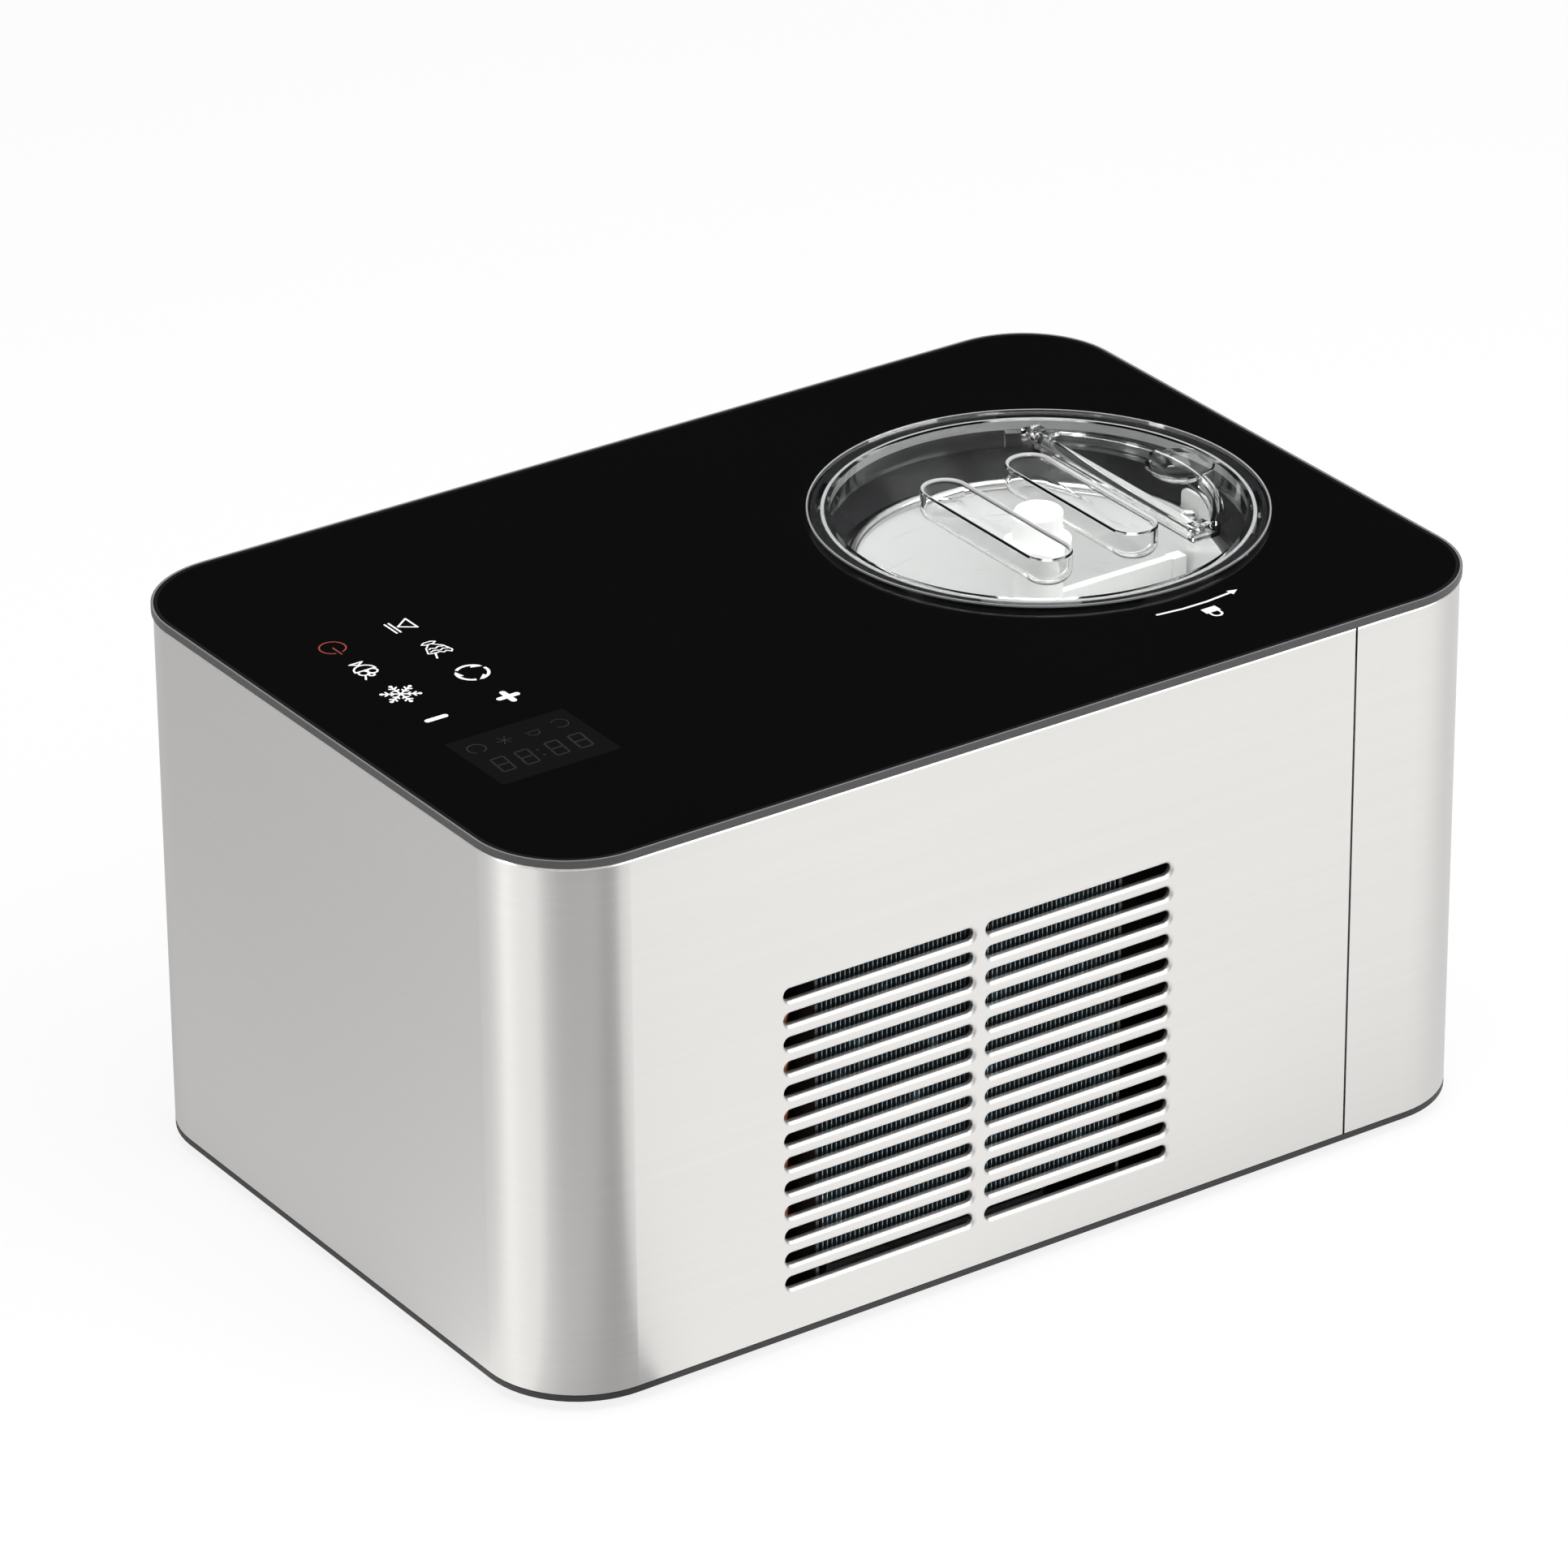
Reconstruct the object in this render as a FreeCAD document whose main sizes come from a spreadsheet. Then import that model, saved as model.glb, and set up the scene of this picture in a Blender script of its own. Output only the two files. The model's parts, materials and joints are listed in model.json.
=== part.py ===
import FreeCAD, Part
import math
import os
import re

import Sketcher
from FreeCAD import Placement, Rotation, Vector

# Table-top ice cream maker with its own compressor. Millimetres, +Z up, origin on the floor under
# the middle of the case. +X is the touch-key end, -X the bowl end, +Y the side with the air slots.

SIZES = {
    # Case shell
    "body_length": 398.4,
    "body_width": 267.6,
    "body_height": 204.0,
    "corner_radius": 36.0,
    "wrap_gauge": 0.6,
    "sheet_gap": 0.3,
    "fit_gap": 0.2,
    "hole_gap": 0.1,
    "cut_margin": 1.0,
    # Top frame and glass
    "frame_overhang": 0.8,
    "frame_rim_height": 2.7,
    "frame_rim_width": 2.4,
    "frame_wall": 2.0,
    "frame_plate": 3.0,
    "frame_skirt": 12.0,
    "glass_thickness": 4.0,
    "glass_gap": 0.15,
    # Base, feet, posts and case screws
    "base_lip_height": 2.2,
    "base_floor": 2.5,
    "base_wall": 2.0,
    "base_wall_height": 14.0,
    "foot_height": 4.0,
    "foot_radius": 10.0,
    "foot_inset": 44.0,
    "foot_stem_radius": 3.2,
    "foot_head_radius": 4.4,
    "foot_head_height": 2.0,
    "post_radius": 6.0,
    "post_inset": 24.0,
    "post_boss_radius": 8.0,
    "post_boss_height": 4.0,
    "screw_radius": 1.8,
    "screw_grip": 15.0,
    "screw_head_radius": 4.0,
    "screw_head_height": 2.0,
    "screw_recess": 3.0,
    "intake_slots": 7,
    "intake_pitch": 12.0,
    "intake_width": 5.0,
    "intake_length": 52.0,
    "intake_x": 46.0,
    "intake_y": 44.0,
    # Air slots and seam on the +Y side
    "vent_rows": 13,
    "vent_pitch": 9.2,
    "vent_height": 4.6,
    "vent_length": 77.4,
    "vent_gap": 5.4,
    "vent_x": 22.6,
    "vent_low_z": 24.9,
    "vent_lip": 2.0,
    "vent_round": 1.6,
    "vent_lip_wall": 2.0,
    "seam_end_gap": 63.7,
    "seam_gap": 0.9,
    "seam_fold": 3.0,
    "seam_strip_width": 24.0,
    "seam_strip_gauge": 0.8,
    # Bowl, pot and jacket
    "bowl_end_gap": 101.0,
    "bowl_rim_drop": 23.0,
    "bowl_radius": 65.5,
    "bowl_wall": 1.5,
    "bowl_floor": 1.8,
    "bowl_depth": 110.0,
    "bowl_flange": 2.0,
    "bowl_flange_reach": 2.3,
    "bowl_round": 6.0,
    "chimney_height": 35.0,
    "chimney_wall": 1.6,
    "chimney_gap": 0.6,
    "bowl_pot_gap": 1.0,
    "bowl_floor_gap": 1.5,
    "pot_wall": 1.5,
    "pot_floor": 1.5,
    "pot_flange": 2.0,
    "pot_flange_reach": 8.0,
    "pot_screws": 6,
    "pot_screw_radius": 1.5,
    "pot_screw_head": 2.6,
    "pot_screw_length": 4.0,
    "sleeve_wall": 1.3,
    "sleeve_gap": 0.3,
    "sleeve_height": 32.0,
    "jacket_wall": 13.0,
    "jacket_floor": 12.0,
    "jacket_coil_gap": 1.3,
    "coil_tube_radius": 3.0,
    "coil_gap": 0.2,
    "coil_turns": 8,
    "coil_low_gap": 12.9,
    "coil_drop": 20.0,
    "coil_tail": 60.0,
    # Ears and bail handle of the bowl
    "ear_width": 17.0,
    "ear_height": 11.2,
    "ear_below_rim": 1.6,
    "ear_round": 3.0,
    "ear_throat_gap": 0.4,
    "bail_wire_radius": 2.0,
    "bail_side_gap": 1.5,
    "bail_bend": 3.0,
    "running_gap": 0.05,
    # Paddle
    "hub_radius": 8.8,
    "hub_low_radius": 11.4,
    "hub_low_height": 46.0,
    "hub_chimney_gap": 0.5,
    "hub_flange_radius": 11.8,
    "hub_flange": 2.2,
    "hub_flange_drop": 13.8,
    "hub_top_gap": 0.6,
    "hub_round": 1.5,
    "blade_thickness": 3.2,
    "blade_edge": 5.0,
    "blade_edge_width": 6.0,
    "blade_wall_gap": 1.6,
    "blade_floor_gap": 2.0,
    "blade_rim_gap": 12.0,
    "blade_bar": 12.0,
    # Throat collar and its bayonet
    "collar_radius": 77.0,
    "collar_wall": 3.3,
    "collar_lip": 5.0,
    "throat_hole_gap": 0.3,
    "groove_radius": 79.4,
    "groove_height": 8.0,
    "throat_wall": 2.6,
    "funnel_gap": 1.9,
    "throat_flange": 2.4,
    # Lid
    "lid_radius": 81.75,
    "lid_thickness": 2.0,
    "lid_seat_gap": 0.2,
    "lid_wall": 1.5,
    "skirt_radius": 75.4,
    "skirt_wall": 1.8,
    "skirt_depth": 10.0,
    "gasket_gap": 0.1,
    "gasket_width": 1.2,
    "gasket_height": 3.8,
    "tab_count": 4,
    "tab_angle": 22.0,
    "tab_start": -49.0,
    "tab_reach": 3.0,
    "tab_gap": 0.3,
    "notch_side_gap": 2.0,
    "pocket_offset": 18.5,
    "pocket_half_width": 7.5,
    "pocket_length": 76.0,
    "pocket_depth": 11.4,
    "pocket_round": 3.5,
    "pocket_rim_round": 1.2,
    "scoop_radius": 14.5,
    "scoop_rise": 8.0,
    "scoop_x": 62.0,
    # Filler flap in the lid
    "flap_hinge_x": 33.5,
    "flap_half_width": 46.0,
    "flap_radius": 62.7,
    "flap_thickness": 1.6,
    "flap_gap": 0.8,
    "flap_rib": 1.6,
    "flap_rib_depth": 2.8,
    "flap_ledge": 1.2,
    "flap_ledge_width": 2.4,
    "flap_seat_gap": 0.3,
    "barrel_radius": 2.4,
    "barrel_drop": 0.4,
    "barrel_gap": 0.6,
    "pin_radius": 1.4,
    "hinge_ear_length": 5.0,
    "hinge_ear_width": 7.0,
    "hinge_ear_rise": 2.6,
    "hinge_cap": 1.0,
    "hinge_side_gap": 0.6,
    # Gearbox and drive
    "gear_module": 1.0,
    "gear_pressure": 20.0,
    "gear_backlash": 0.3,
    "gear_addendum": 0.75,
    "gear_dedendum": 1.1,
    "output_teeth": 56,
    "idler_small_teeth": 14,
    "idler_large_teeth": 48,
    "pinion_teeth": 12,
    "output_width": 7.0,
    "pinion_width": 5.0,
    "gear_side_gap": 0.8,
    "gearbox_wall": 2.5,
    "gearbox_tooth_gap": 2.5,
    "gearbox_cover": 3.0,
    "gearbox_screw_radius": 1.5,
    "gearbox_screw_head": 2.8,
    "gearbox_screw_length": 10.0,
    "gearbox_lug": 5.0,
    "gearbox_pillar": 3.1,
    "shaft_radius": 4.4,
    "shaft_flat": 6.2,
    "shaft_tip": 24.0,
    "tip_rise": 2.0,
    "socket_end_gap": 0.5,
    "socket_gap": 0.15,
    "bush_wall": 2.6,
    "bush_height": 12.0,
    "seal_wall": 5.0,
    "seal_height": 6.0,
    "idler_pin_radius": 2.5,
    "motor_radius": 27.0,
    "motor_jacket_gap": 8.8,
    "motor_shaft_radius": 2.0,
    # Compressor
    "compressor_end_gap": 81.2,
    "compressor_side_gap": 83.8,
    "compressor_radius": 50.0,
    "compressor_height": 112.0,
    "compressor_round": 24.0,
    "compressor_lift": 12.0,
    "plate_length": 124.0,
    "plate_width": 84.0,
    "plate_gauge": 2.5,
    "grommet_radius": 7.0,
    "grommet_inset": 9.0,
    "bolt_radius": 2.5,
    "bolt_head_radius": 5.0,
    "bolt_head_height": 3.0,
    "terminal_length": 24.0,
    "terminal_width": 40.0,
    "terminal_height": 36.0,
    # Condenser and fan
    "condenser_low_x": -38.0,
    "condenser_high_x": 87.0,
    "condenser_depth": 22.0,
    "condenser_front_gap": 1.2,
    "condenser_runs": 14,
    "condenser_low_z": 30.7,
    "fin_pitch": 1.9,
    "fin_gauge": 0.3,
    "fin_margin": 4.6,
    "tube_radius": 2.4,
    "end_plate_gauge": 1.2,
    "fan_size": 92.0,
    "fan_depth": 25.0,
    "fan_gap": 1.0,
    "fan_x": 22.0,
    "fan_z": 84.0,
    "fan_tip_gap": 1.5,
    "fan_duct_radius": 43.5,
    "fan_hub_radius": 17.5,
    "fan_hub_length": 15.0,
    "fan_mount_depth": 5.0,
    "fan_blades": 7,
    "fan_blade_gauge": 1.6,
    "fan_blade_pitch": 35.0,
    "fan_spindle_radius": 2.0,
    "fan_strut": 5.0,
    "bracket_gauge": 1.5,
    # Pipes and drier
    "pipe_bend": 10.0,
    "capillary_radius": 1.2,
    "capillary_bend": 6.0,
    "capillary_lead": 4.0,
    "capillary_shift": 10.0,
    "drier_radius": 8.0,
    "drier_length": 56.0,
    "drier_x": 48.0,
    "drier_fan_gap": 3.0,
    # Controls and electrics
    "board_end_gap": 51.7,
    "board_y": 8.0,
    "board_length": 90.0,
    "board_width": 160.0,
    "board_thickness": 1.6,
    "board_drop": 6.0,
    "board_margin": 9.0,
    "board_boss_radius": 4.0,
    "board_screw_radius": 1.4,
    "board_screw_head": 2.6,
    "board_screw_length": 6.0,
    "display_y": 52.0,
    "display_length": 47.0,
    "display_width": 36.0,
    "key_end_gap": 51.2,
    "key_pitch_x": 29.0,
    "key_low_y": -51.0,
    "key_pitch_y": 22.2,
    "key_rows": 4,
    "key_pad_radius": 6.0,
    "pad_glass_gap": 0.2,
    "power_board_x": 5.0,
    "power_board_length": 96.0,
    "power_board_height": 78.0,
    "power_board_gap": 12.0,
    "power_rail_height": 8.0,
    "power_rail_wall": 2.0,
    "transformer_length": 34.0,
    "transformer_depth": 26.0,
    "transformer_height": 30.0,
    "transformer_shift": -24.0,
    "transformer_lift": 30.0,
    "relay_length": 16.0,
    "relay_depth": 18.0,
    "relay_height": 20.0,
    "relay_shift": 8.0,
    "relay_lift": 26.0,
    "fuse_block_length": 22.0,
    "fuse_block_depth": 12.0,
    "fuse_block_height": 9.0,
    "fuse_block_shift": 8.0,
    "fuse_block_lift": 54.0,
    "capacitor_radius": 8.0,
    "capacitor_length": 24.0,
    "capacitor_shift": 32.0,
    "capacitor_lift": 42.0,
    # Mains lead gland
    "gland_y": 72.0,
    "gland_z": 36.0,
    "gland_bore_radius": 3.6,
    "gland_radius": 8.0,
    "gland_mouth_radius": 4.8,
    "gland_mouth_depth": 3.2,
    "gland_flange_radius": 11.0,
    "gland_flange": 2.0,
    "gland_nut": 5.0,
    "gland_length": 16.0,
}

doc = FreeCAD.newDocument("ice_cream_maker")
sheet = doc.addObject("Spreadsheet::Sheet", "Sizes")
for row, (alias, number) in enumerate(SIZES.items(), 1):
    sheet.set(f"A{row}", alias)
    sheet.set(f"B{row}", str(number))
    sheet.setAlias(f"B{row}", alias)
doc.recompute()

NODES = []

# Levels, as expressions over the sheet
FLOOR_TOP = "(foot_height + base_floor)"
WRAP_LOW = "(foot_height + base_lip_height + sheet_gap)"
GLASS_TOP = "(foot_height + body_height)"
RIM_LOW = f"({GLASS_TOP} - frame_rim_height)"
WRAP_HIGH = f"({RIM_LOW} - sheet_gap)"
FOLD_LOW = "(foot_height + base_wall_height + sheet_gap)"
FOLD_HIGH = f"({RIM_LOW} - frame_skirt - sheet_gap)"
GLASS_LOW = f"({GLASS_TOP} - glass_thickness)"
PLATE_LOW = f"({GLASS_LOW} - frame_plate)"
BOARD_HIGH = f"({PLATE_LOW} - board_drop)"
BOWL_RIM = f"({GLASS_TOP} - bowl_rim_drop)"
POT_RIM = f"({BOWL_RIM} - bowl_flange)"
BOWL_FLOOR = f"({BOWL_RIM} - bowl_depth)"
BOWL_LOW = f"({BOWL_FLOOR} - bowl_floor)"
POT_FLOOR = f"({BOWL_LOW} - bowl_floor_gap)"
POT_LOW = f"({POT_FLOOR} - pot_floor)"
JACKET_LOW = f"({POT_LOW} - jacket_floor)"
LID_LOW = f"({GLASS_TOP} + lid_seat_gap)"
LID_TOP = f"({LID_LOW} + lid_thickness)"
SKIRT_LOW = f"({LID_LOW} - skirt_depth)"
COLLAR_LOW = f"({GLASS_TOP} - collar_lip)"
HINGE_Z = f"({LID_TOP} - barrel_drop)"
FLAP_LOW = f"({LID_TOP} - flap_thickness)"

# Half widths and radii, as expressions over the sheet
HALF_LENGTH = "(body_length / 2)"
HALF_WIDTH = "(body_width / 2)"
WRAP_IN = "(wrap_gauge + fit_gap)"
AXIS_X = f"(bowl_end_gap - {HALF_LENGTH})"
SEAM_X = f"(seam_end_gap - {HALF_LENGTH})"
COMPRESSOR_X = f"({HALF_LENGTH} - compressor_end_gap)"
COMPRESSOR_Y = f"(compressor_side_gap - {HALF_WIDTH})"
BOARD_X = f"({HALF_LENGTH} - board_end_gap)"
KEY_X = f"({HALF_LENGTH} - key_end_gap)"
BOWL_OUT = "(bowl_radius + bowl_wall)"
BOWL_FLANGE_OUT = f"({BOWL_OUT} + bowl_flange_reach)"
POT_IN = f"({BOWL_OUT} + bowl_pot_gap)"
POT_OUT = f"({POT_IN} + pot_wall)"
POT_FLANGE_OUT = f"({POT_OUT} + pot_flange_reach)"
FUNNEL_LOW = f"({BOWL_FLANGE_OUT} + funnel_gap)"
JACKET_IN = f"({POT_OUT} + coil_gap + 2 * coil_tube_radius + jacket_coil_gap)"
JACKET_OUT = f"({JACKET_IN} + jacket_wall)"
SLEEVE_IN = "(shaft_radius + sleeve_gap)"
SLEEVE_OUT = f"({SLEEVE_IN} + sleeve_wall)"
CHIMNEY_IN = f"({SLEEVE_OUT} + chimney_gap)"
CHIMNEY_OUT = f"({CHIMNEY_IN} + chimney_wall)"
POWER_Y = f"(-{HALF_WIDTH} + {WRAP_IN} + base_wall + power_board_gap)"


def expand(text):
    """Turn size names in a text into references to the sheet."""
    return re.sub(r"[a-z_]\w*", lambda word: f"Sizes.{word[0]}" if word[0] in SIZES else word[0], text)


def val(text):
    """The number that an expression over the sheet gives."""
    return float(sheet.evalExpression(expand(str(text))))


def bind(obj, name, text):
    """Bind one property of an object to an expression over the sheet."""
    obj.setExpression(name, expand(str(text)))


def place(obj, low):
    """Bind an object's place to three expressions."""
    for axis, text in zip("xyz", low):
        bind(obj, f"Placement.Base.{axis}", text)
    return obj


def keep(label, obj):
    """Register an object as one piece of the assembly."""
    obj.Label = label
    NODES.append(obj)
    return obj


def block(name, size, low=None):
    """A box by its three sides and, where it is bound, its lowest corner."""
    box = doc.addObject("Part::Box", name)
    for side, text in zip(("Length", "Width", "Height"), size):
        bind(box, side, text)
    return place(box, low) if low else box


AXIS_TURN = {
    "z": Rotation(),
    "x": Rotation(Vector(0, 1, 0), 90),
    "y": Rotation(Vector(1, 0, 0), -90),
}


def rod(name, radius, length, low, axis="z"):
    """A cylinder that starts at a point and runs up an axis."""
    cylinder = doc.addObject("Part::Cylinder", name)
    cylinder.Placement = Placement(Vector(), AXIS_TURN[axis])
    bind(cylinder, "Radius", radius)
    bind(cylinder, "Height", length)
    return place(cylinder, low)


def ring(name, outer, inner, length, low, axis="z"):
    """A plain tube."""
    tube = rod(name + "_outer", outer, length, low, axis)
    return cut(name, tube, rod(name + "_bore", inner, length, low, axis))


def ball(name, radius, centre):
    """A sphere by its centre."""
    sphere = doc.addObject("Part::Sphere", name)
    bind(sphere, "Radius", radius)
    return place(sphere, centre)


def wedge(name, radius, angle, start, length, low):
    """A sector of a cylinder, from a start angle about Z."""
    sector = doc.addObject("Part::Cylinder", name)
    sector.Placement = Placement(Vector(), Rotation(Vector(0, 0, 1), 1))
    bind(sector, "Radius", radius)
    bind(sector, "Height", length)
    bind(sector, "Angle", angle)
    bind(sector, "Placement.Rotation.Angle", start)
    return place(sector, low)


def fuse(name, parts):
    """Join solids into one."""
    joined = doc.addObject("Part::MultiFuse", name)
    joined.Shapes = parts
    joined.Refine = True
    return joined


def cut(name, base, *tools, refine=True):
    """Take tools away from a base."""
    result = doc.addObject("Part::Cut", name)
    result.Base = base
    result.Tool = tools[0] if len(tools) == 1 else fuse(name + "_tools", list(tools))
    result.Refine = refine
    return result


def common(name, first, second):
    """What two solids share."""
    shared = doc.addObject("Part::Common", name)
    shared.Base = first
    shared.Tool = second
    return shared


def group(name, parts):
    """Separate like solids held in one piece's file."""
    compound = doc.addObject("Part::Compound", name)
    compound.Links = parts
    return compound


def feature(name, shape, at=("0", "0", "0")):
    """A piece whose shape is worked out here from the sheet's values, set at a place."""
    solid = doc.addObject("Part::Feature", name)
    solid.Shape = shape
    return place(solid, at)


def sketch_on(body, name, plane, offset="0"):
    """A sketch on one of a body's own planes, moved along the plane's normal."""
    sketch = body.newObject("Sketcher::SketchObject", name)
    support = next(item for item in body.Origin.OriginFeatures if item.Role == plane)
    sketch.AttachmentSupport = (support, [""])
    sketch.MapMode = "FlatFace"
    bind(sketch, "AttachmentOffset.Base.z", offset)
    return sketch


def pin_point(sketch, index, point):
    """Tie a line's start to two expressions."""
    for kind, axis, text in (("DistanceX", -2, point[0]), ("DistanceY", -1, point[1])):
        number = val(text)
        if abs(number) < 1e-9:
            sketch.addConstraint(Sketcher.Constraint("PointOnObject", index[0], index[1], axis))
            continue
        rule = sketch.addConstraint(Sketcher.Constraint(kind, -1, 1, index[0], index[1], number))
        bind(sketch, f"Constraints[{rule}]", text)


def flat(point):
    """A sketch point from two expressions."""
    return Vector(val(point[0]), val(point[1]), 0)


def corner_arc(before, start, end):
    """The arc that leaves a line tangentially at start and ends at end, and whether it turns left."""
    along = (start - before).normalize()
    left = Vector(-along.y, along.x, 0)
    chord = end - start
    reach = chord.dot(chord) / (2 * left.dot(chord))
    centre = start + left * reach
    turns_left = reach > 0
    first, last = (start, end) if turns_left else (end, start)
    angles = [math.atan2(p.y - centre.y, p.x - centre.x) for p in (first, last)]
    if angles[1] < angles[0]:
        angles[1] += 2 * math.pi
    circle = Part.Circle(centre, Vector(0, 0, 1), abs(reach))
    return Part.ArcOfCircle(circle, angles[0], angles[1]), turns_left


def outline(sketch, runs):
    """Draw a closed outline of straight runs, joined by tangent arcs where their ends differ."""
    total = len(runs)
    lines = [sketch.addGeometry(Part.LineSegment(flat(a), flat(b))) for a, b in runs]
    for here in range(total):
        after = (here + 1) % total
        end, start = runs[here][1], runs[after][0]
        pin_point(sketch, (lines[here], 1), runs[here][0])
        if end == start:
            sketch.addConstraint(Sketcher.Constraint("Coincident", lines[here], 2, lines[after], 1))
            continue
        pin_point(sketch, (lines[here], 2), end)
        shape, turns_left = corner_arc(flat(runs[here][0]), flat(end), flat(start))
        arc = sketch.addGeometry(shape)
        near, far = (1, 2) if turns_left else (2, 1)
        sketch.addConstraint(Sketcher.Constraint("Tangent", lines[here], 2, arc, near))
        sketch.addConstraint(Sketcher.Constraint("Coincident", arc, far, lines[after], 1))


def polygon_runs(points):
    """Straight runs through a ring of points."""
    return [(point, points[(i + 1) % len(points)]) for i, point in enumerate(points)]


def rounded_runs(length, width, radius):
    """The straight runs of a rounded rectangle about the origin."""
    x, y = f"(({length}) / 2)", f"(({width}) / 2)"
    xi, yi = f"({x} - ({radius}))", f"({y} - ({radius}))"
    return [
        ((f"-{xi}", f"-{y}"), (xi, f"-{y}")),
        ((x, f"-{yi}"), (x, yi)),
        ((xi, y), (f"-{xi}", y)),
        ((f"-{x}", yi), (f"-{x}", f"-{yi}")),
    ]


def slot_runs(middle_x, middle_y, length, width):
    """The straight runs of a slot with round ends, lying along the sketch's X."""
    reach = f"(({length}) / 2 - ({width}) / 2)"
    low, high = f"({middle_y} - ({width}) / 2)", f"({middle_y} + ({width}) / 2)"
    left, right = f"({middle_x} - {reach})", f"({middle_x} + {reach})"
    return [((left, low), (right, low)), ((right, high), (left, high))]


def pad(name, plane, outlines, length, offset="0"):
    """A body padded from closed outlines on one of its planes."""
    body = doc.addObject("PartDesign::Body", name)
    sketch = sketch_on(body, name + "_sketch", plane, offset)
    for runs in outlines:
        outline(sketch, runs)
    extrusion = body.newObject("PartDesign::Pad", name + "_pad")
    extrusion.Profile = sketch
    bind(extrusion, "Length", length)
    return body


def slab(name, length, width, radius, height, low_z, middle=("0", "0")):
    """A rounded plate or block standing on a level."""
    body = pad(name, "XY_Plane", [rounded_runs(length, width, radius)], height)
    return place(body, (middle[0], middle[1], low_z))


def turned(name, profile, middle=(AXIS_X, "0")):
    """A body turned about a vertical axis from (radius, height) points."""
    body = doc.addObject("PartDesign::Body", name)
    sketch = sketch_on(body, name + "_sketch", "XZ_Plane")
    outline(sketch, polygon_runs(profile))
    revolution = body.newObject("PartDesign::Revolution", name + "_turn")
    revolution.Profile = sketch
    revolution.ReferenceAxis = (sketch, ["V_Axis"])
    revolution.Angle = 360
    return place(body, (middle[0], middle[1], "0"))


def round_off(name, base, radius, wanted):
    """Round the edges of a solid that a test picks."""
    doc.recompute()
    number = val(radius)
    rounded = doc.addObject("Part::Fillet", name)
    rounded.Base = base
    rounded.Edges = [(i, number, number) for i, edge in enumerate(base.Shape.Edges, 1) if wanted(edge)]
    return rounded


def level_circle(radius, level):
    """A test for a full circle of a radius at a height."""
    size, height = val(radius), val(level)

    def test(edge):
        if not isinstance(edge.Curve, Part.Circle):
            return False
        return abs(edge.Curve.Radius - size) < 0.01 and abs(edge.Curve.Center.z - height) < 0.01

    return test


def at_level(level):
    """A test for an edge that lies flat at a height."""
    height = val(level)

    def test(edge):
        box = edge.BoundBox
        return abs(box.ZMin - height) < 0.001 and abs(box.ZMax - height) < 0.001

    return test


def corners(inset):
    """The four places at one inset from the case's sides."""
    x, y = f"({HALF_LENGTH} - {inset})", f"({HALF_WIDTH} - {inset})"
    return [(sx + x, sy + y) for sx in ("", "-") for sy in ("", "-")]


def circle_wire(radius, centre, direction):
    """A circle as a wire, for a sweep."""
    return Part.Wire(Part.makeCircle(radius, centre, direction))


def sweep_round(path, radius):
    """A round bar along a path of lines and arcs."""
    first = path.Edges[0]
    start = first.valueAt(first.FirstParameter)
    direction = first.tangentAt(first.FirstParameter)
    return path.makePipeShell([circle_wire(radius, start, direction)], True, False)


def bent_path(points, bend):
    """Straight runs through points, with one bend radius at each corner."""
    edges = []
    start = points[0]
    for before, corner, after in zip(points, points[1:], points[2:]):
        inward = (before - corner).normalize()
        outward = (after - corner).normalize()
        half_turn = (math.pi - inward.getAngle(outward)) / 2
        cut_back = bend * math.tan(half_turn)
        entry = corner + inward * cut_back
        leave = corner + outward * cut_back
        middle = (inward + outward).normalize()
        crown = corner + middle * (bend / math.cos(half_turn) - bend)
        edges.append(Part.LineSegment(start, entry).toShape())
        edges.append(Part.Arc(entry, crown, leave).toShape())
        start = leave
    edges.append(Part.LineSegment(start, points[-1]).toShape())
    return Part.Wire(edges)


def pipe(label, points, radius, bend, trim=None):
    """A bent pipe through points given as expressions, its end trimmed by what it is brazed to."""
    path = bent_path([Vector(*(val(text) for text in point)) for point in points], val(bend))
    bar = sweep_round(path, val(radius))
    return keep(label, feature(label, bar if trim is None else bar.cut(trim)))


# Case


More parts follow.
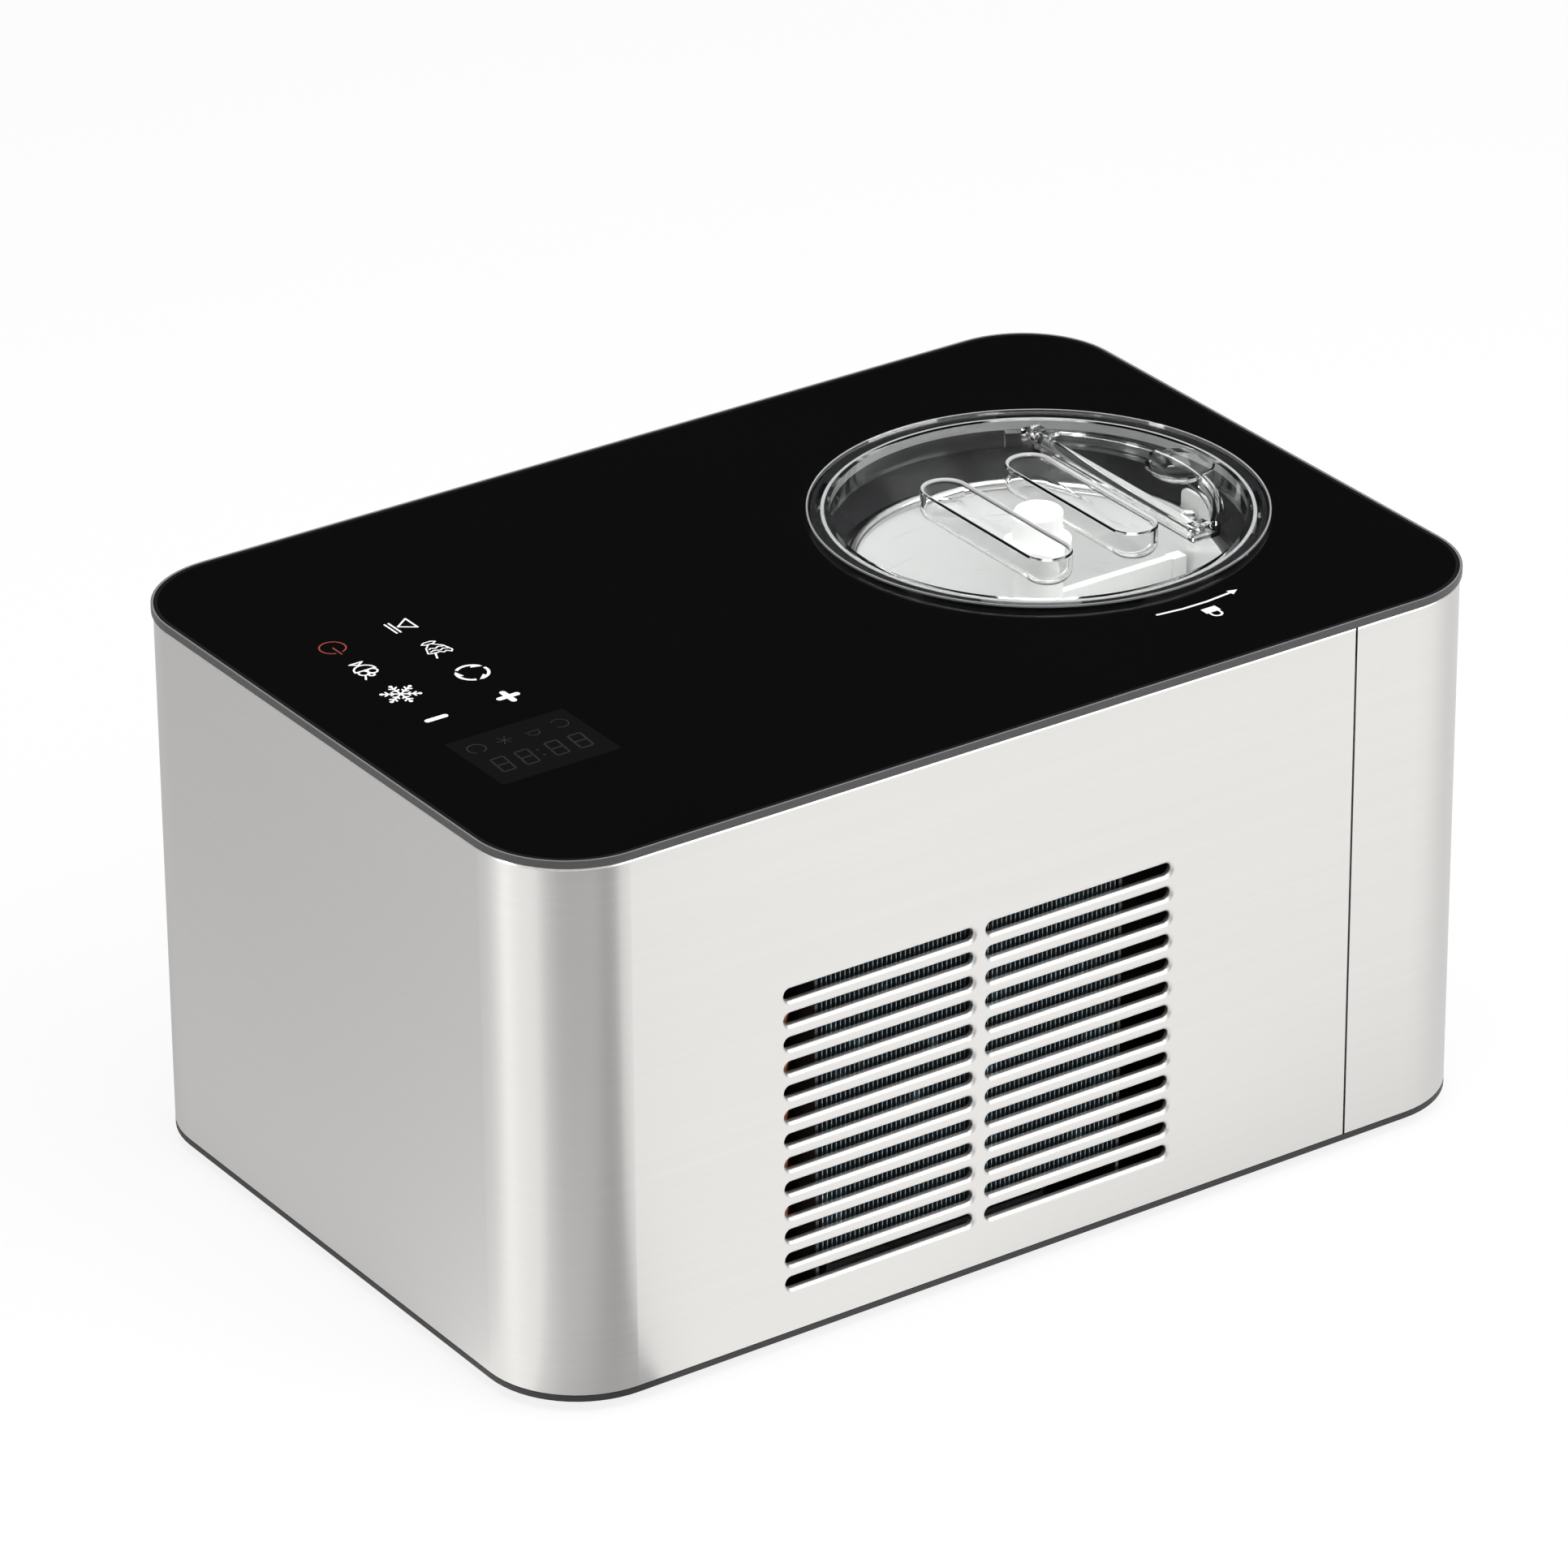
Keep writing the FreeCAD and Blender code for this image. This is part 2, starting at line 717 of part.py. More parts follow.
def make_base():
    """Base pan with its upstand, post bosses, foot holes, screw recesses and air intake."""
    lip = slab("base_lip", "body_length", "body_width", "corner_radius", "base_lip_height", "foot_height")
    inset = WRAP_IN
    upstand = slab(
        "base_upstand", f"body_length - 2 * {inset}", f"body_width - 2 * {inset}",
        f"corner_radius - {inset}", "base_wall_height", "foot_height",
    )
    inset = f"({WRAP_IN} + base_wall)"
    cavity = slab(
        "base_cavity", f"body_length - 2 * {inset}", f"body_width - 2 * {inset}",
        f"corner_radius - {inset}", "base_wall_height", FLOOR_TOP,
    )
    tray = cut("base_tray", fuse("base_block", [lip, upstand]), cavity)
    solids, tools = [tray], []
    for i, (x, y) in enumerate(corners("post_inset")):
        solids.append(rod(f"post_boss_{i}", "post_boss_radius", "post_boss_height", (x, y, FLOOR_TOP)))
        depth = "base_floor + post_boss_height"
        tools.append(rod(f"base_screw_hole_{i}", "screw_radius + fit_gap", depth, (x, y, "foot_height")))
        recess = (x, y, "foot_height")
        tools.append(rod(f"base_recess_{i}", "screw_head_radius + fit_gap", "screw_recess", recess))
    for i, (x, y) in enumerate(corners("foot_inset")):
        tools.append(rod(f"foot_hole_{i}", "foot_stem_radius", "base_floor", (x, y, "foot_height")))
    for i in range(SIZES["intake_slots"]):
        x = f"intake_x + ({i} - (intake_slots - 1) / 2) * intake_pitch - intake_width / 2"
        low = (x, "intake_y - intake_length / 2", "foot_height")
        tools.append(block(f"intake_{i}", ("intake_width", "intake_length", "base_floor"), low))
    for side in (0, 1):
        rail = f"{POWER_Y} + board_thickness * {side} - power_rail_wall * {1 - side}"
        low = ("power_board_x - power_board_length / 2", rail, FLOOR_TOP)
        size = ("power_board_length", "power_rail_wall", "power_rail_height")
        solids.append(block(f"board_rail_{side}", size, low))
    keep("base_pan", cut("base_pan", fuse("base_solids", solids), *tools))


def make_feet():
    """Four push-in rubber feet."""
    feet = []
    for i, (x, y) in enumerate(corners("foot_inset")):
        pad_part = rod(f"foot_pad_{i}", "foot_radius", "foot_height", (x, y, "0"))
        stem = rod(f"foot_stem_{i}", "foot_stem_radius", "base_floor", (x, y, "foot_height"))
        head = rod(f"foot_head_{i}", "foot_head_radius", "foot_head_height", (x, y, FLOOR_TOP))
        feet.append(fuse(f"foot_{i}", [pad_part, stem, head]))
    keep("rubber_feet", group("rubber_feet", feet))


def vent_body(name, grow, start_y, depth):
    """The block of air slots, all rows and both columns, as solid slot shapes."""
    body = doc.addObject("PartDesign::Body", name)
    sketch = sketch_on(body, name + "_sketch", "XZ_Plane", f"-({start_y})")
    for side in (-1, 1):
        middle = f"(vent_x + {side} * (vent_length + vent_gap) / 2)"
        size = (f"vent_length + 2 * {grow}", f"vent_height + 2 * {grow}")
        outline(sketch, slot_runs(middle, "vent_low_z", *size))
    row = body.newObject("PartDesign::Pad", name + "_row")
    row.Profile = sketch
    bind(row, "Length", depth)
    rows = body.newObject("PartDesign::LinearPattern", name + "_rows")
    rows.Originals = [row]
    rows.Direction = (sketch, ["V_Axis"])
    bind(rows, "Length", "(vent_rows - 1) * vent_pitch")
    bind(rows, "Occurrences", "vent_rows")
    body.Tip = rows
    return body


def make_wrap():
    """One-piece steel wrap with turned-in slot lips, a folded seam and the gland hole."""
    inner = ("body_length - 2 * wrap_gauge", "body_width - 2 * wrap_gauge", "corner_radius - wrap_gauge")
    outlines = [rounded_runs("body_length", "body_width", "corner_radius"), rounded_runs(*inner)]
    tube = pad("wrap_tube", "XY_Plane", outlines, f"{WRAP_HIGH} - {WRAP_LOW}")
    place(tube, ("0", "0", WRAP_LOW))
    lip_start = f"{HALF_WIDTH} - wrap_gauge / 2"
    lips = vent_body("vent_lips", "vent_lip_wall", lip_start, "vent_lip + wrap_gauge / 2")
    folds = []
    for side in (-1, 1):
        x = f"{SEAM_X} + {side} * seam_gap / 2 - wrap_gauge * {(1 - side) // 2}"
        low = (x, f"{HALF_WIDTH} - wrap_gauge - seam_fold", FOLD_LOW)
        size = ("wrap_gauge", "seam_fold + wrap_gauge / 2", f"{FOLD_HIGH} - {FOLD_LOW}")
        folds.append(block(f"seam_fold_{side + 1}", size, low))
    sheet_metal = fuse("wrap_sheet", [tube, lips] + folds)
    through = "2 * wrap_gauge + vent_lip"
    slots = vent_body("vent_slots", "0", f"{HALF_WIDTH} + wrap_gauge / 2", through)
    seam_low = (f"{SEAM_X} - seam_gap / 2", f"{HALF_WIDTH} - 2 * wrap_gauge", WRAP_LOW)
    seam = block("seam_cut", ("seam_gap", "3 * wrap_gauge", f"{WRAP_HIGH} - {WRAP_LOW}"), seam_low)
    gland_low = (f"-{HALF_LENGTH} - wrap_gauge", "gland_y", "gland_z")
    gland = rod("gland_hole", "gland_radius + hole_gap", "3 * wrap_gauge", gland_low, "x")
    pressed = cut("wrap_pressed", sheet_metal, slots, seam, gland)
    face_y, top_z = val(HALF_WIDTH), val("vent_low_z + vent_rows * vent_pitch")

    def slot_edge(edge):
        box = edge.BoundBox
        on_face = abs(box.YMin - face_y) < 0.001 and abs(box.YMax - face_y) < 0.001
        return on_face and box.ZMax < top_z and box.XMin > val(f"{SEAM_X} + seam_gap")

    def wanted(edge):
        height = edge.BoundBox.ZMax - edge.BoundBox.ZMin
        return slot_edge(edge) and height < val("vent_pitch") and edge.BoundBox.ZMin > val(FOLD_LOW)

    keep("housing_wrap", round_off("housing_wrap", pressed, "vent_round", wanted))


def make_seam_strip():
    """Backing strip that holds the wrap's two folded edges together."""
    depth = f"{HALF_WIDTH} - wrap_gauge - seam_fold - seam_strip_gauge"
    low = (f"{SEAM_X} - seam_strip_width / 2", depth, FOLD_LOW)
    height = f"{FOLD_HIGH} - {FOLD_LOW}"
    keep("seam_strip", block("seam_strip", ("seam_strip_width", "seam_strip_gauge", height), low))


def make_top_frame():
    """Plastic top frame: bright rim, glass seat, skirt, throat collar, board bosses and post seats."""
    rim = slab(
        "frame_rim", "body_length + 2 * frame_overhang", "body_width + 2 * frame_overhang",
        "corner_radius + frame_overhang", "frame_rim_height", RIM_LOW,
    )
    inset = WRAP_IN
    skirt = slab(
        "frame_block", f"body_length - 2 * {inset}", f"body_width - 2 * {inset}",
        f"corner_radius - {inset}", "frame_rim_height + frame_skirt", f"{RIM_LOW} - frame_skirt",
    )
    inset = "(frame_rim_width - frame_overhang)"
    seat = slab(
        "glass_seat", f"body_length - 2 * {inset}", f"body_width - 2 * {inset}",
        f"corner_radius - {inset}", "2 * glass_thickness", GLASS_LOW,
    )
    inset = f"({WRAP_IN} + frame_wall)"
    under = slab(
        "frame_under", f"body_length - 2 * {inset}", f"body_width - 2 * {inset}",
        f"corner_radius - {inset}", f"{PLATE_LOW} - ({RIM_LOW} - frame_skirt)", f"{RIM_LOW} - frame_skirt",
    )
    hole_low = f"{PLATE_LOW} - frame_plate / 2"
    hole = rod("throat_hole", "groove_radius", "2 * frame_plate", (AXIS_X, "0", hole_low))
    window = block(
        "key_window",
        ("board_length - 2 * board_margin", "board_width - 2 * board_margin", "2 * frame_plate"),
        (f"{BOARD_X} - board_length / 2 + board_margin", "board_y - board_width / 2 + board_margin",
         hole_low),
    )
    shell = cut("frame_shell", fuse("frame_outer", [rim, skirt]), seat, under, hole, window)
    throat_out = "(groove_radius + throat_wall)"
    groove_low = f"({COLLAR_LOW} - groove_height)"
    flange_top = f"({POT_RIM} + throat_flange)"
    funnel_low = f"({flange_top} + throat_wall / 2)"
    collar_out = "(collar_radius + collar_wall)"
    throat = turned("throat", [
        ("collar_radius", GLASS_TOP), (collar_out, GLASS_TOP), (collar_out, GLASS_LOW),
        (throat_out, GLASS_LOW), (throat_out, f"{groove_low} - throat_wall / 2"),
        (f"{FUNNEL_LOW} + throat_wall", flange_top), (POT_FLANGE_OUT, flange_top), (POT_FLANGE_OUT, POT_RIM),
        (FUNNEL_LOW, POT_RIM), (FUNNEL_LOW, funnel_low), ("groove_radius", groove_low),
        ("groove_radius", COLLAR_LOW), ("collar_radius", COLLAR_LOW),
    ])
    notches = []
    for i in range(SIZES["tab_count"]):
        start = f"tab_start - notch_side_gap + {i} * 360 / tab_count"
        low = (AXIS_X, "0", f"{COLLAR_LOW} - fit_gap")
        radius, angle = "skirt_radius + tab_reach + tab_gap", "tab_angle + 2 * notch_side_gap"
        notches.append(wedge(f"notch_{i}", radius, angle, start, "collar_lip + 2 * fit_gap", low))
    solids, tools = [shell, cut("throat_notched", throat, *notches)], []
    for i, (x, y) in enumerate(board_corners()):
        height = "board_drop + frame_plate / 2"
        solids.append(rod(f"board_boss_{i}", "board_boss_radius", height, (x, y, BOARD_HIGH)))
        depth = "board_screw_length - board_thickness"
        tools.append(rod(f"board_boss_hole_{i}", "board_screw_radius", depth, (x, y, BOARD_HIGH)))
    for i, (x, y) in enumerate(corners("post_inset")):
        tools.append(rod(f"frame_screw_hole_{i}", "screw_radius + hole_gap", "frame_plate", (x, y, PLATE_LOW)))
        sink = (x, y, f"{GLASS_LOW} - screw_head_height")
        tools.append(rod(f"frame_sink_{i}", "screw_head_radius + fit_gap", "screw_head_height", sink))
    for i, (x, y) in enumerate(pot_screw_places()):
        depth = "pot_screw_length - pot_flange"
        tools.append(rod(f"flange_hole_{i}", "pot_screw_radius", depth, (x, y, POT_RIM)))
    keep("top_frame", cut("top_frame", fuse("frame_solids", solids), *tools, refine=False))


def board_corners():
    """Screw places at the control board's corners."""
    x, y = "(board_length / 2 - board_margin / 2)", "(board_width / 2 - board_margin / 2)"
    return [(f"{BOARD_X} {sx} {x}", f"board_y {sy} {y}") for sx in "+-" for sy in "+-"]


def pot_screw_places():
    """Screw places round the pot's flange."""
    places = []
    for i in range(SIZES["pot_screws"]):
        angle = f"({i} + 0.5) * 360 deg / pot_screws"
        reach = f"({FUNNEL_LOW} + pot_screw_head)"
        places.append((f"{AXIS_X} + {reach} * cos({angle})", f"{reach} * sin({angle})"))
    return places


def make_glass():
    """Black glass top with the round opening."""
    inset = "(frame_rim_width - frame_overhang + glass_gap)"
    plate = slab(
        "glass_plate", f"body_length - 2 * {inset}", f"body_width - 2 * {inset}",
        f"corner_radius - {inset}", "glass_thickness", GLASS_LOW,
    )
    radius = "collar_radius + collar_wall + throat_hole_gap"
    low = (AXIS_X, "0", f"{GLASS_LOW} - glass_thickness / 2")
    hole = rod("glass_hole", radius, "2 * glass_thickness", low)
    keep("glass_panel", cut("glass_panel", plate, hole))


def make_posts():
    """Corner posts between base and top frame, and the screws at both their ends."""
    posts, screws = [], []
    post_low = f"({FLOOR_TOP} + post_boss_height)"
    for i, (x, y) in enumerate(corners("post_inset")):
        column = rod(f"post_{i}", "post_radius", f"{PLATE_LOW} - {post_low}", (x, y, post_low))
        low_bore = rod(f"post_low_bore_{i}", "screw_radius", "screw_grip", (x, y, post_low))
        high_low = (x, y, f"{PLATE_LOW} - screw_grip")
        high_bore = rod(f"post_high_bore_{i}", "screw_radius", "screw_grip", high_low)
        posts.append(cut(f"post_bored_{i}", column, low_bore, high_bore))
        seat = "foot_height + screw_recess"
        low_head = (x, y, f"{seat} - screw_head_height")
        screws.append(fuse(f"low_screw_{i}", [
            rod(f"low_head_{i}", "screw_head_radius", "screw_head_height", low_head),
            rod(f"low_shank_{i}", "screw_radius", f"{post_low} + screw_grip - ({seat})", (x, y, seat)),
        ]))
        under_head = f"({GLASS_LOW} - screw_head_height)"
        shank = f"{under_head} - {PLATE_LOW} + screw_grip"
        screws.append(fuse(f"high_screw_{i}", [
            rod(f"high_head_{i}", "screw_head_radius", "screw_head_height", (x, y, under_head)),
            rod(f"high_shank_{i}", "screw_radius", shank, high_low),
        ]))
    keep("corner_posts", group("corner_posts", posts))
    keep("case_screws", group("case_screws", screws))


def make_gland():
    """Gland for the mains lead at the bowl end of the case."""
    out = f"-{HALF_LENGTH}"
    face = (f"{out} - gland_flange", "gland_y", "gland_z")
    flange = rod("gland_face", "gland_flange_radius", "gland_flange", face, "x")
    barrel = rod("gland_barrel", "gland_radius", "gland_length", (out, "gland_y", "gland_z"), "x")
    inside = (f"{out} + wrap_gauge", "gland_y", "gland_z")
    nut = rod("gland_lock", "gland_flange_radius", "gland_nut", inside, "x")
    start = (f"{out} - 2 * gland_flange", "gland_y", "gland_z")
    bore = rod("gland_bore", "gland_bore_radius", "gland_length + 4 * gland_flange", start, "x")
    mouth = rod("gland_mouth", "gland_mouth_radius", "gland_flange + gland_mouth_depth", start, "x")
    keep("cord_gland", cut("cord_gland", fuse("gland_body", [flange, barrel, nut]), bore, mouth))


# Cold side


def make_pot():
    """Fixed cooling pot with its centre sleeve and screwed flange."""
    pot = turned("pot_turned", [
        (SLEEVE_IN, POT_LOW), (POT_OUT, POT_LOW), (POT_OUT, f"{POT_RIM} - pot_flange"),
        (POT_FLANGE_OUT, f"{POT_RIM} - pot_flange"), (POT_FLANGE_OUT, POT_RIM), (POT_IN, POT_RIM),
        (POT_IN, POT_FLOOR), (SLEEVE_OUT, POT_FLOOR), (SLEEVE_OUT, f"{POT_FLOOR} + sleeve_height"),
        (SLEEVE_IN, f"{POT_FLOOR} + sleeve_height"),
    ])
    holes, screws = [], []
    for i, (x, y) in enumerate(pot_screw_places()):
        under = f"({POT_RIM} - pot_flange)"
        holes.append(rod(f"pot_hole_{i}", "pot_screw_radius", "pot_flange", (x, y, under)))
        screws.append(fuse(f"pot_screw_{i}", [
            rod(f"pot_screw_head_{i}", "pot_screw_head", "pot_flange", (x, y, f"{under} - pot_flange")),
            rod(f"pot_screw_shank_{i}", "pot_screw_radius", "pot_screw_length", (x, y, under)),
        ]))
    keep("cooling_pot", cut("cooling_pot", pot, *holes))
    keep("pot_screws", group("pot_screws", screws))


def helix_arcs(radius, pitch, turns, start_angle, low):
    """A rising coil as pairs of arcs, each pair a half turn that leaves and meets the next smoothly."""
    def point(turn):
        angle = start_angle + 2 * math.pi * turn
        return Vector(radius * math.cos(angle), radius * math.sin(angle), low + pitch * turn)

    def along(turn):
        angle = start_angle + 2 * math.pi * turn
        round_once = 2 * math.pi * radius
        return Vector(-round_once * math.sin(angle), round_once * math.cos(angle), pitch).normalize()

    edges = []
    for k in range(round(turns * 4)):
        edges += biarc(point(k / 4), along(k / 4), point((k + 1) / 4), along((k + 1) / 4))
    return edges


def arc_from(start, along, end):
    """The arc that leaves a point in a direction and ends at another point."""
    chord = end - start
    across = chord - along * chord.dot(along)
    side = across.normalize()
    radius = chord.dot(chord) / (2 * chord.dot(side))
    centre = start + side * radius
    crown = centre + ((start + end) * 0.5 - centre).normalize() * radius
    return Part.Arc(start, crown, end).toShape()


def biarc(start, leave, end, arrive):
    """Two arcs between two points that keep the directions at both ends."""
    chord = end - start
    both = leave + arrive
    a = 2 * (1 - leave.dot(arrive))
    b = 2 * chord.dot(both)
    c = -chord.dot(chord)
    reach = (-b + math.sqrt(b * b - 4 * a * c)) / (2 * a)
    first = start + leave * reach
    last = end - arrive * reach
    joint = (first + last) * 0.5
    tangent = (last - first).normalize()
    return [arc_from(start, leave, joint), arc_from(joint, tangent, end)]


COIL_R = f"({POT_OUT} + coil_gap + coil_tube_radius)"
COIL_RISE = f"({POT_RIM} - coil_drop - {POT_LOW} - coil_low_gap)"
COIL_PITCH = f"({COIL_RISE} / (coil_turns + 0.5))"
COIL_SLOPE = f"({COIL_PITCH} / (2 * pi * {COIL_R}))"


def coil_tail_points():
    """Start and end of the coil's two straight tails, which keep the winding's slope, low one first."""
    low = f"({POT_LOW} + coil_low_gap)"
    high = f"({POT_RIM} - coil_drop)"
    drop = f"coil_tail * {COIL_SLOPE}"
    return (
        (f"{AXIS_X} + coil_tail", COIL_R, f"({low} - {drop})"), (AXIS_X, COIL_R, low),
        (AXIS_X, f"-{COIL_R}", high), (f"{AXIS_X} + coil_tail", f"-{COIL_R}", f"({high} + {drop})"),
    )


def make_coil():
    """Evaporator tube wound round the pot, with a straight tail at each end."""
    tails = [Vector(*(val(text) for text in point)) for point in coil_tail_points()]
    radius = tails[1].y
    turns = val("coil_turns + 0.5")
    arcs = helix_arcs(radius, val(COIL_PITCH), turns, math.pi / 2, tails[1].z)
    for arc in arcs:
        arc.translate(Vector(val(AXIS_X), 0, 0))
    edges = [Part.LineSegment(tails[0], tails[1]).toShape()] + arcs
    edges.append(Part.LineSegment(tails[2], tails[3]).toShape())
    path = Part.Wire(edges)
    gap = val(f"{COIL_PITCH} - 2 * coil_tube_radius")
    print(f"evaporator coil: {turns} turns, least gap to itself {gap:.2f} mm")
    keep("evaporator_coil", feature("evaporator_coil", sweep_round(path, val("coil_tube_radius"))))


def make_jacket():
    """Foam jacket round the pot, with a way out for each coil tail."""
    hole = "(shaft_radius + seal_wall + fit_gap)"
    high = f"({POT_RIM} - pot_flange)"
    shell = turned("jacket_turned", [
        (hole, JACKET_LOW), (JACKET_OUT, JACKET_LOW), (JACKET_OUT, high), (JACKET_IN, high),
        (JACKET_IN, POT_LOW), (hole, POT_LOW),
    ])
    exits = []
    for i, (x, y, z) in enumerate((coil_tail_points()[1], coil_tail_points()[2])):
        radius = f"coil_tube_radius + coil_tail * {COIL_SLOPE} + sheet_gap"
        exits.append(rod(f"tail_exit_{i}", radius, "coil_tail + jacket_wall", (x, y, z), "x"))
    keep("insulation_jacket", cut("insulation_jacket", shell, *exits))


# Drive train

OUTPUT_R = "(gear_module * output_teeth / 2)"
IDLER_X = f"({AXIS_X} + gear_module * (output_teeth + idler_small_teeth) / 2)"
MOTOR_X = f"({IDLER_X} + gear_module * (idler_large_teeth + pinion_teeth) / 2)"
GEAR_LOW = f"({FLOOR_TOP} + gearbox_wall + gear_side_gap)"
LARGE_LOW = f"({GEAR_LOW} + output_width + gear_side_gap)"
COVER_LOW = f"({LARGE_LOW} + pinion_width + gear_side_gap)"
COVER_TOP = f"({COVER_LOW} + gearbox_cover)"
MOTOR_HEIGHT = f"({JACKET_LOW} - motor_jacket_gap - {COVER_TOP})"
GEARBOX_X = f"(({AXIS_X} - {OUTPUT_R} + {MOTOR_X} + motor_radius) / 2)"
GEARBOX_EDGE = "(gearbox_tooth_gap + gearbox_wall)"
GEARBOX_LENGTH = f"({MOTOR_X} + motor_radius - {AXIS_X} + {OUTPUT_R} + 2 * {GEARBOX_EDGE})"
GEARBOX_WIDTH = f"(2 * ({OUTPUT_R} + {GEARBOX_EDGE}))"
TIP_LOW = f"({BOWL_FLOOR} + chimney_height + tip_rise)"


def involute(angle):
    """The involute function of an angle."""
    return math.tan(angle) - angle


def gear(teeth, width, bore, phase):
    """A spur gear about Z, standing on z = 0, with a tooth's middle at the phase angle."""
    unit = val("gear_module")
    pitch = unit * teeth / 2
    pressure = math.radians(val("gear_pressure"))
    base = pitch * math.cos(pressure)
    tip = pitch + val("gear_addendum") * unit
    root = pitch - val("gear_dedendum") * unit
    half_tooth = math.pi / (2 * teeth) - val("gear_backlash") / (4 * pitch)

    def flank(radius):
        pressed = math.acos(min(1.0, base / radius))
        return half_tooth + involute(pressure) - involute(pressed)

    def polar(radius, angle):
        return Vector(radius * math.cos(angle), radius * math.sin(angle), 0)

    start = max(root, base)
    radii = [start + (tip - start) * k / 4 for k in range(5)]
    step = 2 * math.pi / teeth
    edges = []
    for k in range(teeth):
        middle = math.radians(phase) + k * step
        rise = [polar(r, middle - flank(r)) for r in radii]
        fall = [polar(r, middle + flank(r)) for r in reversed(radii)]
        if root < base:
            rise.insert(0, polar(root, middle - flank(start)))
            fall.append(polar(root, middle + flank(start)))
        edges += [Part.LineSegment(a, b).toShape() for a, b in zip(rise, rise[1:])]
        edges.append(Part.Arc(rise[-1], polar(tip, middle), fall[0]).toShape())
        edges += [Part.LineSegment(a, b).toShape() for a, b in zip(fall, fall[1:])]
        valley = min(root, start)
        following = polar(valley, middle + step - flank(start))
        edges.append(Part.Arc(fall[-1], polar(valley, middle + step / 2), following).toShape())
    blank = Part.Face(Part.Wire(edges)).extrude(Vector(0, 0, width))
    return blank.cut(Part.makeCylinder(bore, width))


def gearbox_screw_places():
    """Screw places at the gearbox's corners."""
    x = f"({GEARBOX_LENGTH} / 2 - gearbox_wall - gearbox_lug / 2)"
    y = f"({GEARBOX_WIDTH} / 2 - gearbox_wall - gearbox_lug / 2)"
    return [(f"{GEARBOX_X} {sx} {x}", f"0 {sy} {y}") for sx in "+-" for sy in "+-"]


def make_gearbox():
    """Gearbox housing and cover with bearing bosses, bush, idler pin and screws."""
    middle = (GEARBOX_X, "0")
    corner = "gearbox_lug"
    height = f"{COVER_LOW} - {FLOOR_TOP}"
    outer = slab("gearbox_outer", GEARBOX_LENGTH, GEARBOX_WIDTH, corner, height, FLOOR_TOP, middle)
    inner = slab(
        "gearbox_inner", f"{GEARBOX_LENGTH} - 2 * gearbox_wall", f"{GEARBOX_WIDTH} - 2 * gearbox_wall",
        f"{corner} - gearbox_wall / 2", height, f"{FLOOR_TOP} + gearbox_wall", middle,
    )
    pillars, holes, cover_holes, screws = [], [], [], []
    for i, (x, y) in enumerate(gearbox_screw_places()):
        inside = f"({COVER_LOW} - gearbox_screw_length + gearbox_cover)"
        pillars.append(rod(f"gearbox_pillar_{i}", "gearbox_pillar", height, (x, y, FLOOR_TOP)))
        depth = f"{COVER_LOW} - {inside}"
        holes.append(rod(f"pillar_hole_{i}", "gearbox_screw_radius", depth, (x, y, inside)))
        cover_holes.append(rod(f"cover_hole_{i}", "gearbox_screw_radius", "gearbox_cover", (x, y, COVER_LOW)))
        screws.append(fuse(f"gearbox_screw_{i}", [
            rod(f"gearbox_shank_{i}", "gearbox_screw_radius", "gearbox_screw_length", (x, y, inside)),
            rod(f"gearbox_head_{i}", "gearbox_screw_head", "gearbox_screw_radius", (x, y, COVER_TOP)),
        ]))
    seat = f"{FLOOR_TOP} + gearbox_wall / 2"
    holes.append(rod("shaft_seat", "shaft_radius + running_gap", "gearbox_wall", (AXIS_X, "0", seat)))
    holes.append(rod("idler_seat", "idler_pin_radius", "gearbox_wall", (IDLER_X, "0", seat)))
    box = fuse("gearbox_walls", [cut("gearbox_tray", outer, inner)] + pillars)
    keep("gearbox_housing", cut("gearbox_housing", box, *holes))

    bush_out = "(shaft_radius + running_gap + bush_wall)"
    lid_plate = slab("cover_plate", GEARBOX_LENGTH, GEARBOX_WIDTH, corner, "gearbox_cover", COVER_LOW, middle)
    rise = "bush_height - gearbox_cover"
    boss = rod("bush_boss", f"{bush_out} + gearbox_wall", rise, (AXIS_X, "0", COVER_TOP))
    bush_low = (AXIS_X, "0", COVER_LOW)
    cover_holes.append(rod("bush_seat", bush_out, "bush_height", bush_low))
    idler_low = (IDLER_X, "0", COVER_LOW)
    cover_holes.append(rod("idler_top_seat", "idler_pin_radius", "gearbox_cover / 2", idler_low))
    way = "motor_shaft_radius + sheet_gap"
    cover_holes.append(rod("motor_way", way, "gearbox_cover", (MOTOR_X, "0", COVER_LOW)))
    keep("gearbox_cover", cut("gearbox_cover", fuse("cover_body", [lid_plate, boss]), *cover_holes))
    keep("shaft_bush", ring("shaft_bush", bush_out, "shaft_radius + running_gap", "bush_height", bush_low))
    pin_length = f"{COVER_LOW} + gearbox_cover / 2 - ({seat})"
    keep("idler_pin", rod("idler_pin", "idler_pin_radius", pin_length, (IDLER_X, "0", seat)))
    keep("gearbox_screws", group("gearbox_screws", screws))
    seal_low = (AXIS_X, "0", f"{POT_LOW} - seal_height")
    seal_radii = ("shaft_radius + seal_wall", "shaft_radius + hole_gap")
    keep("shaft_seal", ring("shaft_seal", *seal_radii, "seal_height", seal_low))


